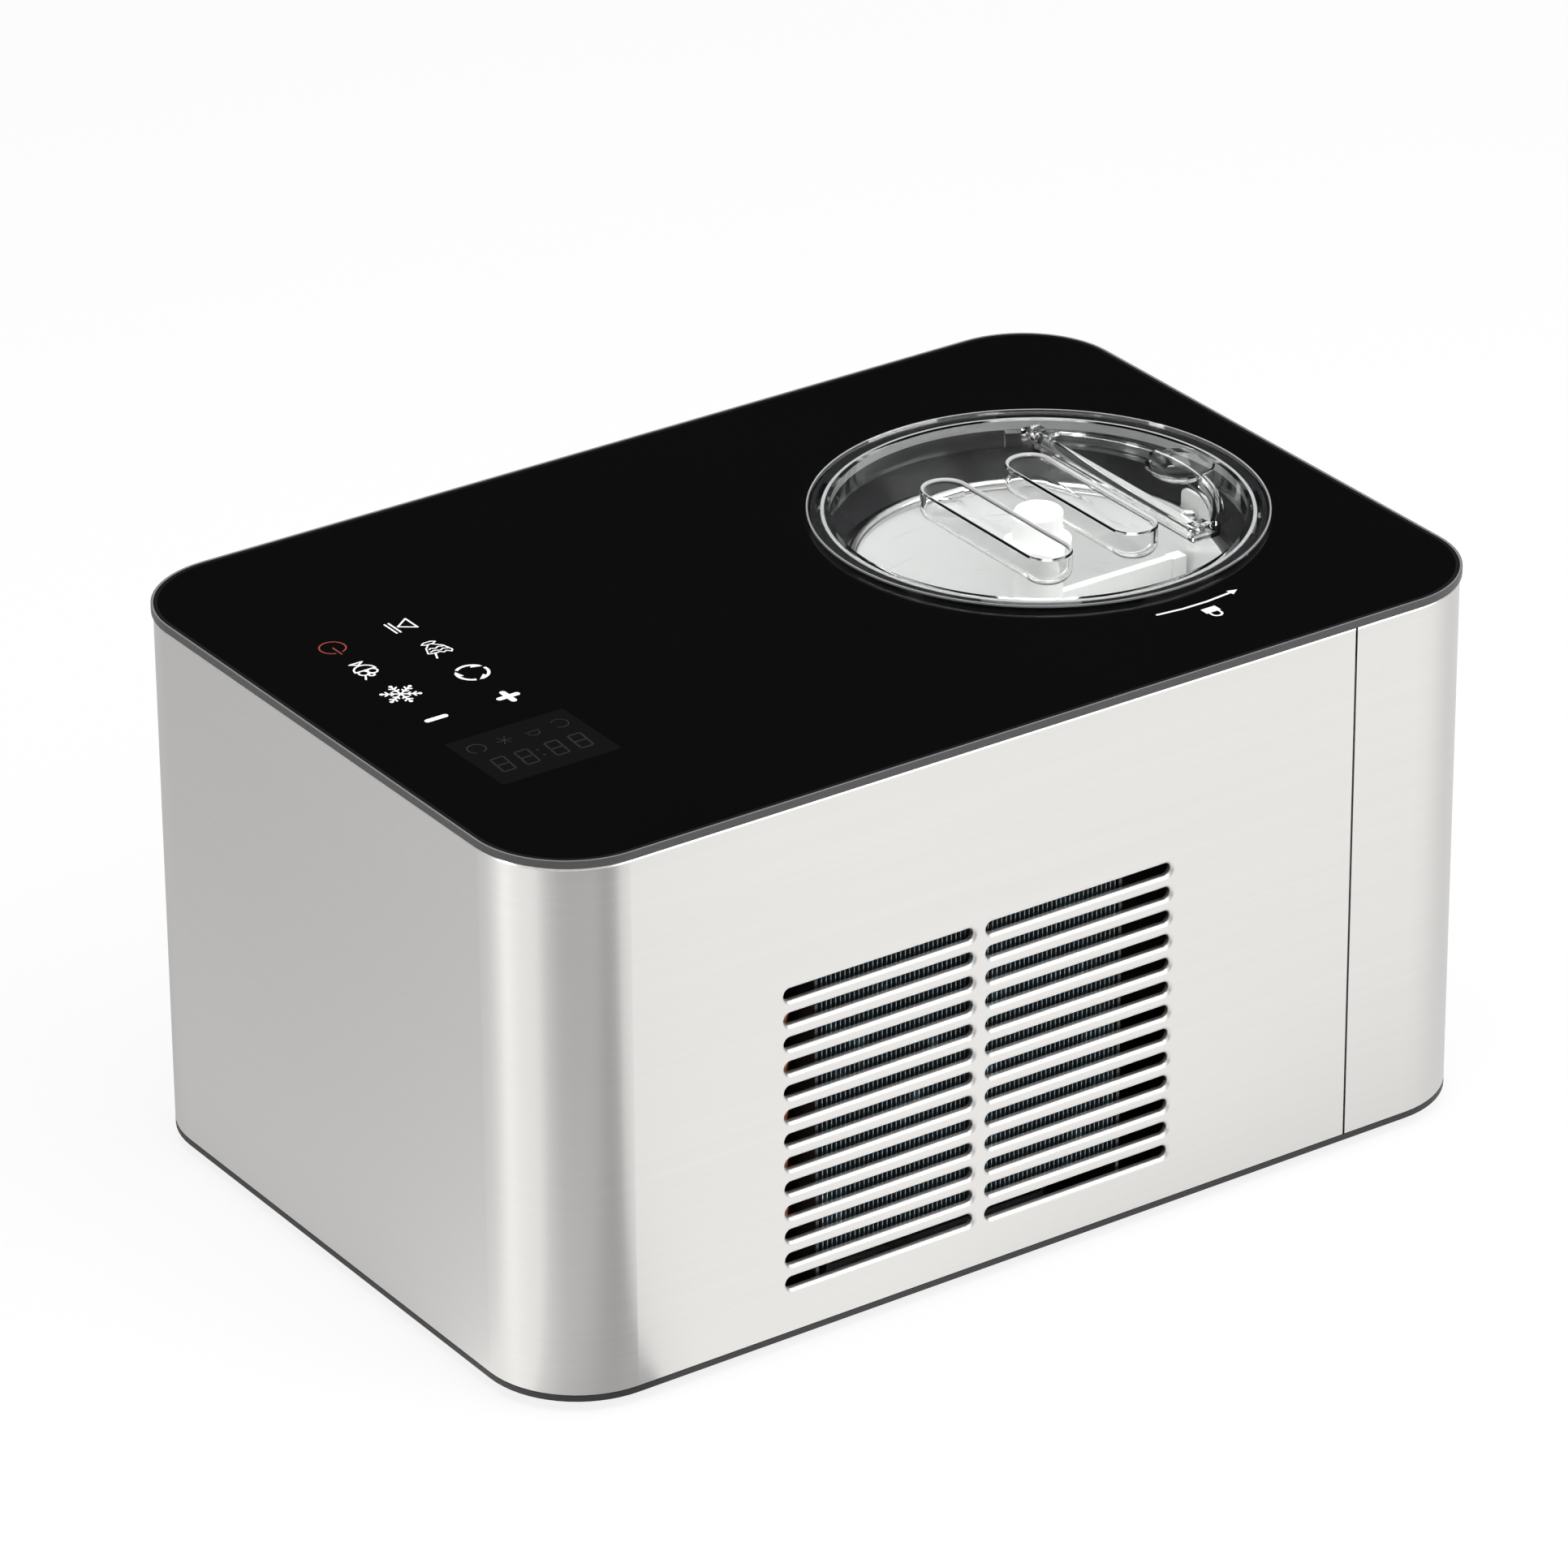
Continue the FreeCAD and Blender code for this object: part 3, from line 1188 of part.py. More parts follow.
def make_gears():
    """Output gear and shaft, compound idler, motor pinion with its shaft, and the motor can."""
    output = gear(SIZES["output_teeth"], val("output_width"), val("shaft_radius"), 0)
    keep("output_gear", feature("output_gear", output, (AXIS_X, "0", GEAR_LOW)))
    low = f"({FLOOR_TOP} + gearbox_wall / 2 + fit_gap)"
    stem = rod("shaft_round", "shaft_radius", f"{TIP_LOW} - {low}", (AXIS_X, "0", low))
    bar = block(
        "shaft_square", ("shaft_flat", "shaft_flat", "shaft_tip"),
        (f"{AXIS_X} - shaft_flat / 2", "-shaft_flat / 2", TIP_LOW),
    )
    turned_tip = rod("shaft_tip_round", "shaft_radius", "shaft_tip", (AXIS_X, "0", TIP_LOW))
    keep("drive_shaft", fuse("drive_shaft", [stem, common("shaft_tip_bar", bar, turned_tip)]))

    bore = val("idler_pin_radius + running_gap")
    small = SIZES["idler_small_teeth"]
    rise = val(f"{LARGE_LOW} - {GEAR_LOW}")
    wheel = gear(SIZES["idler_large_teeth"], val("pinion_width"), bore, 0).translated(Vector(0, 0, rise))
    leaves = gear(small, rise, bore, 180 + 180 / small)
    keep("idler_gear", feature("idler_gear", wheel.fuse(leaves).removeSplitter(), (IDLER_X, "0", GEAR_LOW)))

    teeth = SIZES["pinion_teeth"]
    pinion = gear(teeth, val("pinion_width"), val("motor_shaft_radius"), 180 + 180 / teeth)
    keep("motor_pinion", feature("motor_pinion", pinion, (MOTOR_X, "0", LARGE_LOW)))
    length = f"{COVER_TOP} + {MOTOR_HEIGHT} / 2 - {LARGE_LOW}"
    keep("motor_shaft", rod("motor_shaft", "motor_shaft_radius", length, (MOTOR_X, "0", LARGE_LOW)))
    can = rod("motor_outer", "motor_radius", MOTOR_HEIGHT, (MOTOR_X, "0", COVER_TOP))
    way = f"{MOTOR_HEIGHT} / 2 + fit_gap"
    hole = rod("motor_bore", "motor_shaft_radius + running_gap", way, (MOTOR_X, "0", COVER_TOP))
    keep("motor_can", cut("motor_can", can, hole))


# Compressor, condenser and fan

PLATE_Z = f"({FLOOR_TOP} + compressor_lift)"
SHELL_LOW = f"({PLATE_Z} + plate_gauge)"
CONDENSER_Y = f"({HALF_WIDTH} - wrap_gauge - vent_lip - condenser_front_gap)"
CONDENSER_HIGH = "(condenser_low_z + (condenser_runs - 1) * vent_pitch)"
TUBE_Y = f"({CONDENSER_Y} - condenser_depth / 2)"
FAN_Y = f"({CONDENSER_Y} - condenser_depth - fan_gap)"


def make_compressor():
    """Hermetic compressor with its foot plate, grommets, bolts and terminal cover."""
    x, y = COMPRESSOR_X, COMPRESSOR_Y
    drum = rod("compressor_drum", "compressor_radius", "compressor_height", (x, y, SHELL_LOW))
    ends = [val(SHELL_LOW), val(f"{SHELL_LOW} + compressor_height")]

    def end_circle(edge):
        return isinstance(edge.Curve, Part.Circle) and min(abs(edge.Curve.Center.z - z) for z in ends) < 0.01

    keep("compressor_shell", round_off("compressor_domed", drum, "compressor_round", end_circle))
    plate = slab("foot_plate", "plate_length", "plate_width", "grommet_inset", "plate_gauge", PLATE_Z, (x, y))
    reach = ("(plate_length / 2 - grommet_inset)", "(plate_width / 2 - grommet_inset)")
    holes, grommets, bolts = [], [], []
    for i, (sx, sy) in enumerate(((1, 1), (1, -1), (-1, 1), (-1, -1))):
        px, py = f"{x} + {sx} * {reach[0]}", f"{y} + {sy} * {reach[1]}"
        holes.append(rod(f"plate_hole_{i}", "bolt_radius", "plate_gauge", (px, py, PLATE_Z)))
        stand = (px, py, FLOOR_TOP)
        grommets.append(ring(f"grommet_{i}", "grommet_radius", "bolt_radius", "compressor_lift", stand))
        bolts.append(fuse(f"bolt_{i}", [
            rod(f"bolt_shank_{i}", "bolt_radius", "compressor_lift + plate_gauge", stand),
            rod(f"bolt_head_{i}", "bolt_head_radius", "bolt_head_height", (px, py, SHELL_LOW)),
        ]))
    keep("compressor_plate", cut("compressor_plate", plate, *holes))
    keep("compressor_grommets", group("compressor_grommets", grommets))
    keep("compressor_bolts", group("compressor_bolts", bolts))
    box = block(
        "terminal_box", ("terminal_length + compressor_radius / 2", "terminal_width", "terminal_height"),
        (f"{x} + compressor_radius / 2", f"{y} - terminal_width / 2",
         f"{SHELL_LOW} + compressor_height / 2 - terminal_height / 2"),
    )
    inside = rod("terminal_back", "compressor_radius", "compressor_height", (x, y, SHELL_LOW))
    keep("terminal_cover", cut("terminal_cover", box, inside))


def make_condenser():
    """Finned condenser: a stack of fins, one serpentine tube and two end plates."""
    front, depth = val(CONDENSER_Y), val("condenser_depth")
    tube_y = val(TUBE_Y)
    levels = [val(f"condenser_low_z + {k} * vent_pitch") for k in range(SIZES["condenser_runs"])]
    low, high = levels[0] - val("fin_margin"), levels[-1] + val("fin_margin")
    gauge = val("end_plate_gauge")
    along = Vector(1, 0, 0)
    tube_holes = [
        Part.makeCylinder(val("tube_radius"), 3 * gauge, Vector(-gauge, tube_y, z), along) for z in levels
    ]

    def drilled(x, thickness, bottom):
        """One upright plate with a hole for each run."""
        plate = Part.makeBox(thickness, depth, high - bottom, Vector(0, front - depth, bottom))
        return plate.cut(tube_holes).translated(Vector(x, 0, 0))

    first, last = val("condenser_low_x"), val("condenser_high_x")
    count = int((last - first) / val("fin_pitch"))
    fin = drilled(0, val("fin_gauge"), low)
    margin = (last - first - (count - 1) * val("fin_pitch") - val("fin_gauge")) / 2
    fins = [fin.translated(Vector(first + margin + k * val("fin_pitch"), 0, 0)) for k in range(count)]
    keep("condenser_fins", feature("condenser_fins", Part.makeCompound(fins)))
    plates = [drilled(x, gauge, val(FLOOR_TOP)) for x in (first - gauge, last)]
    keep("condenser_end_plates", feature("condenser_end_plates", Part.makeCompound(plates)))

    bend = val("vent_pitch") / 2
    left, right = first - gauge - val("tube_radius") / 2, last + gauge + val("tube_radius") / 2
    edges = []
    for k, z in enumerate(reversed(levels)):
        away, back = (left, right) if k % 2 else (right, left)
        start = Vector(right + bend, tube_y, z) if k == 0 else Vector(away, tube_y, z)
        end = Vector(right + bend, tube_y, z) if k == len(levels) - 1 else Vector(back, tube_y, z)
        edges.append(Part.LineSegment(start, end).toShape())
        if k < len(levels) - 1:
            out = Vector(back + (bend if k % 2 else -bend), tube_y, z - bend)
            edges.append(Part.Arc(end, out, Vector(back, tube_y, z - 2 * bend)).toShape())
    keep("condenser_tube", feature("condenser_tube", sweep_round(Part.Wire(edges), val("tube_radius"))))


def make_fan():
    """Square axial fan with its spindle, bracket and bladed rotor."""
    corner = ("fan_x - fan_size / 2", f"{FAN_Y} - fan_depth", "fan_z - fan_size / 2")
    box = block("fan_box", ("fan_size", "fan_depth", "fan_size"), corner)
    centre = ("fan_x", f"{FAN_Y} - fan_depth", "fan_z")
    duct = rod("fan_duct", "fan_duct_radius", "fan_depth", centre, "y")
    mount_y = f"({FAN_Y} - fan_mount_depth)"
    mount = rod("fan_mount", "fan_hub_radius", "fan_mount_depth", ("fan_x", mount_y, "fan_z"), "y")
    solids = [cut("fan_case", box, duct), mount]
    span = "(2 * (fan_duct_radius + fan_blade_gauge))"
    solids.append(block(
        "fan_strut_x", (span, "fan_mount_depth", "fan_strut"),
        (f"fan_x - {span} / 2", mount_y, "fan_z - fan_strut / 2"),
    ))
    solids.append(block(
        "fan_strut_z", ("fan_strut", "fan_mount_depth", span),
        ("fan_x - fan_strut / 2", mount_y, f"fan_z - {span} / 2"),
    ))
    rotor_y = f"({mount_y} - fan_tip_gap - fan_hub_length)"
    spindle_length = "fan_tip_gap + fan_hub_length / 2 + fan_mount_depth / 2"
    spindle_low = ("fan_x", f"{mount_y} - fan_tip_gap - fan_hub_length / 2", "fan_z")
    solids.append(rod("fan_spindle", "fan_spindle_radius", spindle_length, spindle_low, "y"))
    keep("fan_frame", fuse("fan_frame", solids))

    hub = rod("rotor_hub", "fan_hub_radius", "fan_hub_length", ("fan_x", rotor_y, "fan_z"), "y")
    blade_span = "(fan_duct_radius - fan_tip_gap - fan_hub_radius / 2)"
    blades = []
    for k in range(SIZES["fan_blades"]):
        blade = block(f"blade_{k}", ("fan_hub_length", "fan_blade_gauge", blade_span))
        lean = Rotation(Vector(0, 0, 1), 90 - val("fan_blade_pitch"))
        spin = Rotation(Vector(0, 1, 0), 360 * k / SIZES["fan_blades"])
        middle = Vector(-val("fan_hub_length") / 2, -val("fan_blade_gauge") / 2, val("fan_hub_radius") / 2)
        centre_point = Vector(val("fan_x"), val(f"{rotor_y} + fan_hub_length / 2"), val("fan_z"))
        blade.Placement = Placement(centre_point, spin * lean).multiply(Placement(middle, Rotation()))
        blades.append(blade)
    bore_start = ("fan_x", f"{rotor_y} + fan_hub_length / 2 - fit_gap", "fan_z")
    bore = rod("rotor_bore", "fan_spindle_radius + running_gap", "fan_hub_length", bore_start, "y")
    keep("fan_rotor", cut("fan_rotor", fuse("rotor_solids", [hub] + blades), bore))

    height = f"(fan_z - fan_size / 2 - {FLOOR_TOP})"
    low = ("fan_x - fan_size / 2", f"{FAN_Y} - fan_depth", FLOOR_TOP)
    outer = block("bracket_outer", ("fan_size", "fan_depth", height), low)
    inner = block(
        "bracket_inner", ("fan_size - 2 * bracket_gauge", "fan_depth", f"{height} - 2 * bracket_gauge"),
        ("fan_x - fan_size / 2 + bracket_gauge", f"{FAN_Y} - fan_depth", f"{FLOOR_TOP} + bracket_gauge"),
    )
    keep("fan_bracket", cut("fan_bracket", outer, inner))


def make_pipes():
    """Discharge, liquid and suction pipes, filter drier and capillary."""
    tails = coil_tail_points()
    shell_top = f"({SHELL_LOW} + compressor_height)"
    inlet_x = "(condenser_high_x + end_plate_gauge + tube_radius / 2 + vent_pitch / 2)"
    turn_x = f"({inlet_x} + 2 * pipe_bend)"
    over_z = f"({shell_top} + 2.5 * pipe_bend)"
    pipe("discharge_pipe", [
        (COMPRESSOR_X, COMPRESSOR_Y, shell_top), (COMPRESSOR_X, COMPRESSOR_Y, over_z),
        (turn_x, TUBE_Y, over_z), (turn_x, TUBE_Y, CONDENSER_HIGH),
        (inlet_x, TUBE_Y, CONDENSER_HIGH),
    ], "tube_radius", "pipe_bend")
    drier_y = f"({FAN_Y} - fan_depth - drier_fan_gap - drier_radius)"
    drier_z = tails[0][2]
    drier_low = ("drier_x - drier_length / 2", drier_y, drier_z)
    body = rod("drier_body", "drier_radius", "drier_length", drier_low, "x")
    keep("filter_drier", round_off(
        "filter_drier", body, "drier_radius / 2", lambda edge: isinstance(edge.Curve, Part.Circle)))
    pipe("liquid_pipe", [
        (inlet_x, TUBE_Y, "condenser_low_z"), (turn_x, TUBE_Y, "condenser_low_z"),
        (turn_x, drier_y, drier_z), ("drier_x + drier_length / 2", drier_y, drier_z),
    ], "tube_radius", "pipe_bend")
    knee_x = f"({tails[0][0]} + capillary_lead)"
    pipe("capillary_tube", [
        ("drier_x - drier_length / 2", drier_y, drier_z),
        (f"max(fan_x - fan_size / 2; {knee_x} + capillary_shift)", drier_y, drier_z),
        (knee_x, tails[0][1], f"{drier_z} - {COIL_SLOPE} * capillary_lead"), tails[0],
    ], "capillary_radius", "capillary_bend")
    drop_x = f"({COMPRESSOR_X} - compressor_radius - 2 * pipe_bend)"
    drop_z = f"({tails[3][2]} + {COIL_SLOPE} * ({drop_x} - ({tails[3][0]})))"
    stub_z = f"({SHELL_LOW} + compressor_height / 2)"
    shell = Part.makeCylinder(
        val("compressor_radius"), val("compressor_height"),
        Vector(val(COMPRESSOR_X), val(COMPRESSOR_Y), val(SHELL_LOW)),
    )
    pipe("suction_pipe", [
        tails[3], (drop_x, tails[3][1], drop_z), (drop_x, tails[3][1], stub_z),
        (COMPRESSOR_X, tails[3][1], stub_z),
    ], "coil_tube_radius", "pipe_bend", shell)


# Controls and electrics


def make_controls():
    """Control board under the glass with display, touch pads and screws."""
    low_z = f"({BOARD_HIGH} - board_thickness)"
    low = (f"{BOARD_X} - board_length / 2", "board_y - board_width / 2", low_z)
    plate = block("board_plate", ("board_length", "board_width", "board_thickness"), low)
    holes, screws = [], []
    for i, (x, y) in enumerate(board_corners()):
        holes.append(rod(f"board_hole_{i}", "board_screw_radius", "board_thickness", (x, y, low_z)))
        screws.append(fuse(f"board_screw_{i}", [
            rod(f"board_shank_{i}", "board_screw_radius", "board_screw_length", (x, y, low_z)),
            rod(f"board_head_{i}", "board_screw_head", "board_thickness", (x, y, f"{low_z} - board_thickness")),
        ]))
    keep("control_board", cut("control_board", plate, *holes))
    keep("board_screws", group("board_screws", screws))
    height = f"{GLASS_LOW} - pad_glass_gap - {BOARD_HIGH}"
    low = (f"{BOARD_X} - display_length / 2", "display_y - display_width / 2", BOARD_HIGH)
    keep("display_module", block("display_module", ("display_length", "display_width", height), low))
    pads = []
    for row in range(SIZES["key_rows"]):
        for side in (-1, 1):
            at = (f"{KEY_X} + {side} * key_pitch_x / 2", f"key_low_y + {row} * key_pitch_y", BOARD_HIGH)
            pads.append(rod(f"key_pad_{row}_{side + 1}", "key_pad_radius", height, at))
    keep("touch_pads", group("touch_pads", pads))


def make_power_board():
    """Upright power board in its rails, with transformer, relay and capacitor."""
    low = ("power_board_x - power_board_length / 2", POWER_Y, FLOOR_TOP)
    size = ("power_board_length", "board_thickness", "power_board_height")
    keep("power_board", block("power_board", size, low))
    face = f"({POWER_Y} + board_thickness)"
    parts = []
    for name in ("transformer", "relay", "fuse_block"):
        size = [f"{name}_{side}" for side in ("length", "depth", "height")]
        low = (f"power_board_x + {name}_shift - {name}_length / 2", face, f"{FLOOR_TOP} + {name}_lift")
        parts.append(block(name, size, low))
    low = ("power_board_x + capacitor_shift", face, f"{FLOOR_TOP} + capacitor_lift")
    parts.append(rod("capacitor", "capacitor_radius", "capacitor_length", low, "y"))
    keep("board_components", group("board_components", parts))


# Bowl set

PIVOT_Z = f"({BOWL_RIM} + sheet_gap + bail_wire_radius)"
EAR_IN = f"({BOWL_FLANGE_OUT} + running_gap)"
EAR_OUT = f"({FUNNEL_LOW} - ear_throat_gap)"
BAIL_R = f"({EAR_IN} - bail_side_gap - bail_wire_radius)"


def make_bowl():
    """Lift-out bowl with its centre chimney, and the ears on the edge of its flange."""
    body = turned("bowl_turned", [
        (CHIMNEY_IN, BOWL_LOW), (BOWL_OUT, BOWL_LOW), (BOWL_OUT, POT_RIM), (BOWL_FLANGE_OUT, POT_RIM),
        (BOWL_FLANGE_OUT, BOWL_RIM), ("bowl_radius", BOWL_RIM), ("bowl_radius", BOWL_FLOOR),
        (CHIMNEY_OUT, BOWL_FLOOR), (CHIMNEY_OUT, f"{BOWL_FLOOR} + chimney_height"),
        (CHIMNEY_IN, f"{BOWL_FLOOR} + chimney_height"),
    ])
    inside = round_off("bowl_inside", body, "bowl_round", level_circle("bowl_radius", BOWL_FLOOR))
    drawn = round_off("bowl_drawn", inside, "bowl_round + bowl_wall", level_circle(BOWL_OUT, BOWL_LOW))
    keep("bowl", drawn)
    ears = []

    def through_edge(edge):
        return edge.BoundBox.XLength > val(f"{EAR_OUT} - {EAR_IN}") / 2

    for side in (-1, 1):
        tag = "low" if side < 0 else "high"
        depth = f"({EAR_OUT} - {EAR_IN})"
        inner_x = f"{AXIS_X} + {side} * {EAR_IN} - {(1 - side) // 2} * {depth}"
        low_z = f"({BOWL_RIM} - ear_below_rim)"
        size = (depth, "ear_width", "ear_height")
        plate = block(f"ear_block_{tag}", size, (inner_x, "-ear_width / 2", low_z))
        shaped = round_off(f"ear_round_{tag}", plate, "ear_round", through_edge)
        back = rod(f"ear_back_{tag}", EAR_OUT, "3 * ear_height", (AXIS_X, "0", f"{low_z} - ear_height"))
        pivot = rod(f"pivot_bore_{tag}", "bail_wire_radius + running_gap", depth, (inner_x, "0", PIVOT_Z), "x")
        ears.append(cut(f"ear_{tag}", common(f"ear_fitted_{tag}", shaped, back), pivot))
    keep("bowl_ears", group("bowl_ears", ears))


def make_bail():
    """Wire bail, folded down over the -Y side of the bowl's rim, its ends turned out into the ears."""
    radius, bend = val(BAIL_R), val("bail_bend")
    outer = val(EAR_OUT)
    # The bend joins the pivot line y = 0 and the big circle from outside
    rise = math.asin(bend / (radius + bend))
    bend_x = (radius + bend) * math.cos(rise)
    touch = Vector(radius * math.cos(rise), -radius * math.sin(rise), 0)

    def mirrored(point):
        return Vector(-point.x, point.y, 0)

    centre = Vector(bend_x, -bend, 0)
    middle = (math.pi - rise + math.pi / 2) / 2
    crown = centre + Vector(math.cos(middle), math.sin(middle), 0) * bend
    right = [Vector(outer, 0, 0), Vector(bend_x, 0, 0), crown, touch]
    left = [mirrored(point) for point in right]
    edges = [
        Part.LineSegment(left[0], left[1]).toShape(),
        Part.Arc(left[1], left[2], left[3]).toShape(),
        Part.Arc(left[3], Vector(0, -radius, 0), right[3]).toShape(),
        Part.Arc(right[3], right[2], right[1]).toShape(),
        Part.LineSegment(right[1], right[0]).toShape(),
    ]
    bar = sweep_round(Part.Wire(edges), val("bail_wire_radius"))
    keep("bail_handle", feature("bail_handle", bar, (AXIS_X, "0", PIVOT_Z)))


def make_paddle():
    """Paddle: hub with a square socket, and two scraper blades with windows, resting along the case."""
    low = f"({BOWL_FLOOR} + blade_floor_gap)"
    top = f"({LID_LOW} - hub_top_gap)"
    flange_top = f"({LID_TOP} - hub_flange_drop)"
    neck = f"({low} + hub_low_height)"
    bore = f"({CHIMNEY_OUT} + hub_chimney_gap)"
    socket_low = f"({TIP_LOW} + socket_end_gap)"
    hub = turned("hub_turned", [
        (bore, low), ("hub_low_radius", low), ("hub_low_radius", neck),
        ("hub_radius", f"{neck} + hub_low_radius"), ("hub_radius", f"{flange_top} - hub_flange"),
        ("hub_flange_radius", f"{flange_top} - hub_flange"), ("hub_flange_radius", flange_top),
        ("hub_radius", flange_top), ("hub_radius", top), ("0", top), ("0", socket_low), (bore, socket_low),
    ])
    # Turned so that the seams of the round faces stay clear of the blades
    aside = Placement(Vector(), Rotation(Vector(0, 0, 1), 90))
    hub.Placement = aside
    soft_hub = round_off("hub_soft", hub, "hub_round", level_circle("hub_radius", top))
    side = "(shaft_flat + 2 * socket_gap)"
    socket = block(
        "hub_socket", (side, side, "shaft_tip + 2 * socket_end_gap"),
        (f"{AXIS_X} - {side} / 2", f"-{side} / 2", f"{socket_low} - socket_end_gap"),
    )
    reach = "(bowl_radius - blade_wall_gap)"
    height = f"({BOWL_RIM} - blade_rim_gap - {low})"
    solids, windows = [soft_hub], []
    for sign in (-1, 1):
        tag = "low" if sign < 0 else "high"
        length = f"({reach} - hub_radius)"
        start = f"{AXIS_X} + {sign} * hub_radius - {(1 - sign) // 2} * {length}"
        plate_low = (start, "-blade_thickness / 2", low)
        plate = block(f"blade_plate_{tag}", (length, "blade_thickness", height), plate_low)
        edge_start = f"{AXIS_X} + {sign} * {reach} - {(1 + sign) // 2} * blade_edge_width"
        edge_low = (edge_start, "-blade_edge / 2", low)
        edge_size = ("blade_edge_width", "blade_edge", height)
        solids += [plate, block(f"blade_edge_{tag}", edge_size, edge_low)]
        gap_x = f"({reach} - hub_low_radius - 2 * blade_edge_width)"
        gap_z = f"(({height} - 3 * blade_bar) / 2)"
        window_x = f"{sign} * (hub_low_radius + blade_edge_width / 2) - {(1 - sign) // 2} * {gap_x}"
        for k in range(2):
            at = (f"{AXIS_X} + {window_x}", "-blade_edge", f"{low} + blade_bar + {k} * ({gap_z} + blade_bar)")
            windows.append(block(f"blade_window_{tag}_{k}", (gap_x, "2 * blade_edge", gap_z), at))
    centre_bore = rod("hub_bore", bore, f"{socket_low} - {low}", (AXIS_X, "0", low))
    limit = rod("paddle_limit", reach, f"{top} - {low}", (AXIS_X, "0", low))
    limit.Placement = aside
    whole = common("paddle_round", fuse("paddle_solids", solids), limit)
    keep("paddle", cut("paddle", whole, socket, centre_bore, *windows))


# Lid set


def lid_x(offset):
    """A place along X from the lid's middle."""
    return f"{AXIS_X} + ({offset})"


def filler_shape(name, radius, hinge_x, half_width, low, height):
    """The filler's outline: a round edge, a straight hinge side and two straight ends."""
    disc = rod(name + "_disc", radius, height, (AXIS_X, "0", low))
    box = block(
        name + "_box", (f"{radius} - {hinge_x}", f"2 * ({half_width})", height),
        (lid_x(f"-({radius})"), f"-({half_width})", low),
    )
    return common(name, disc, box)


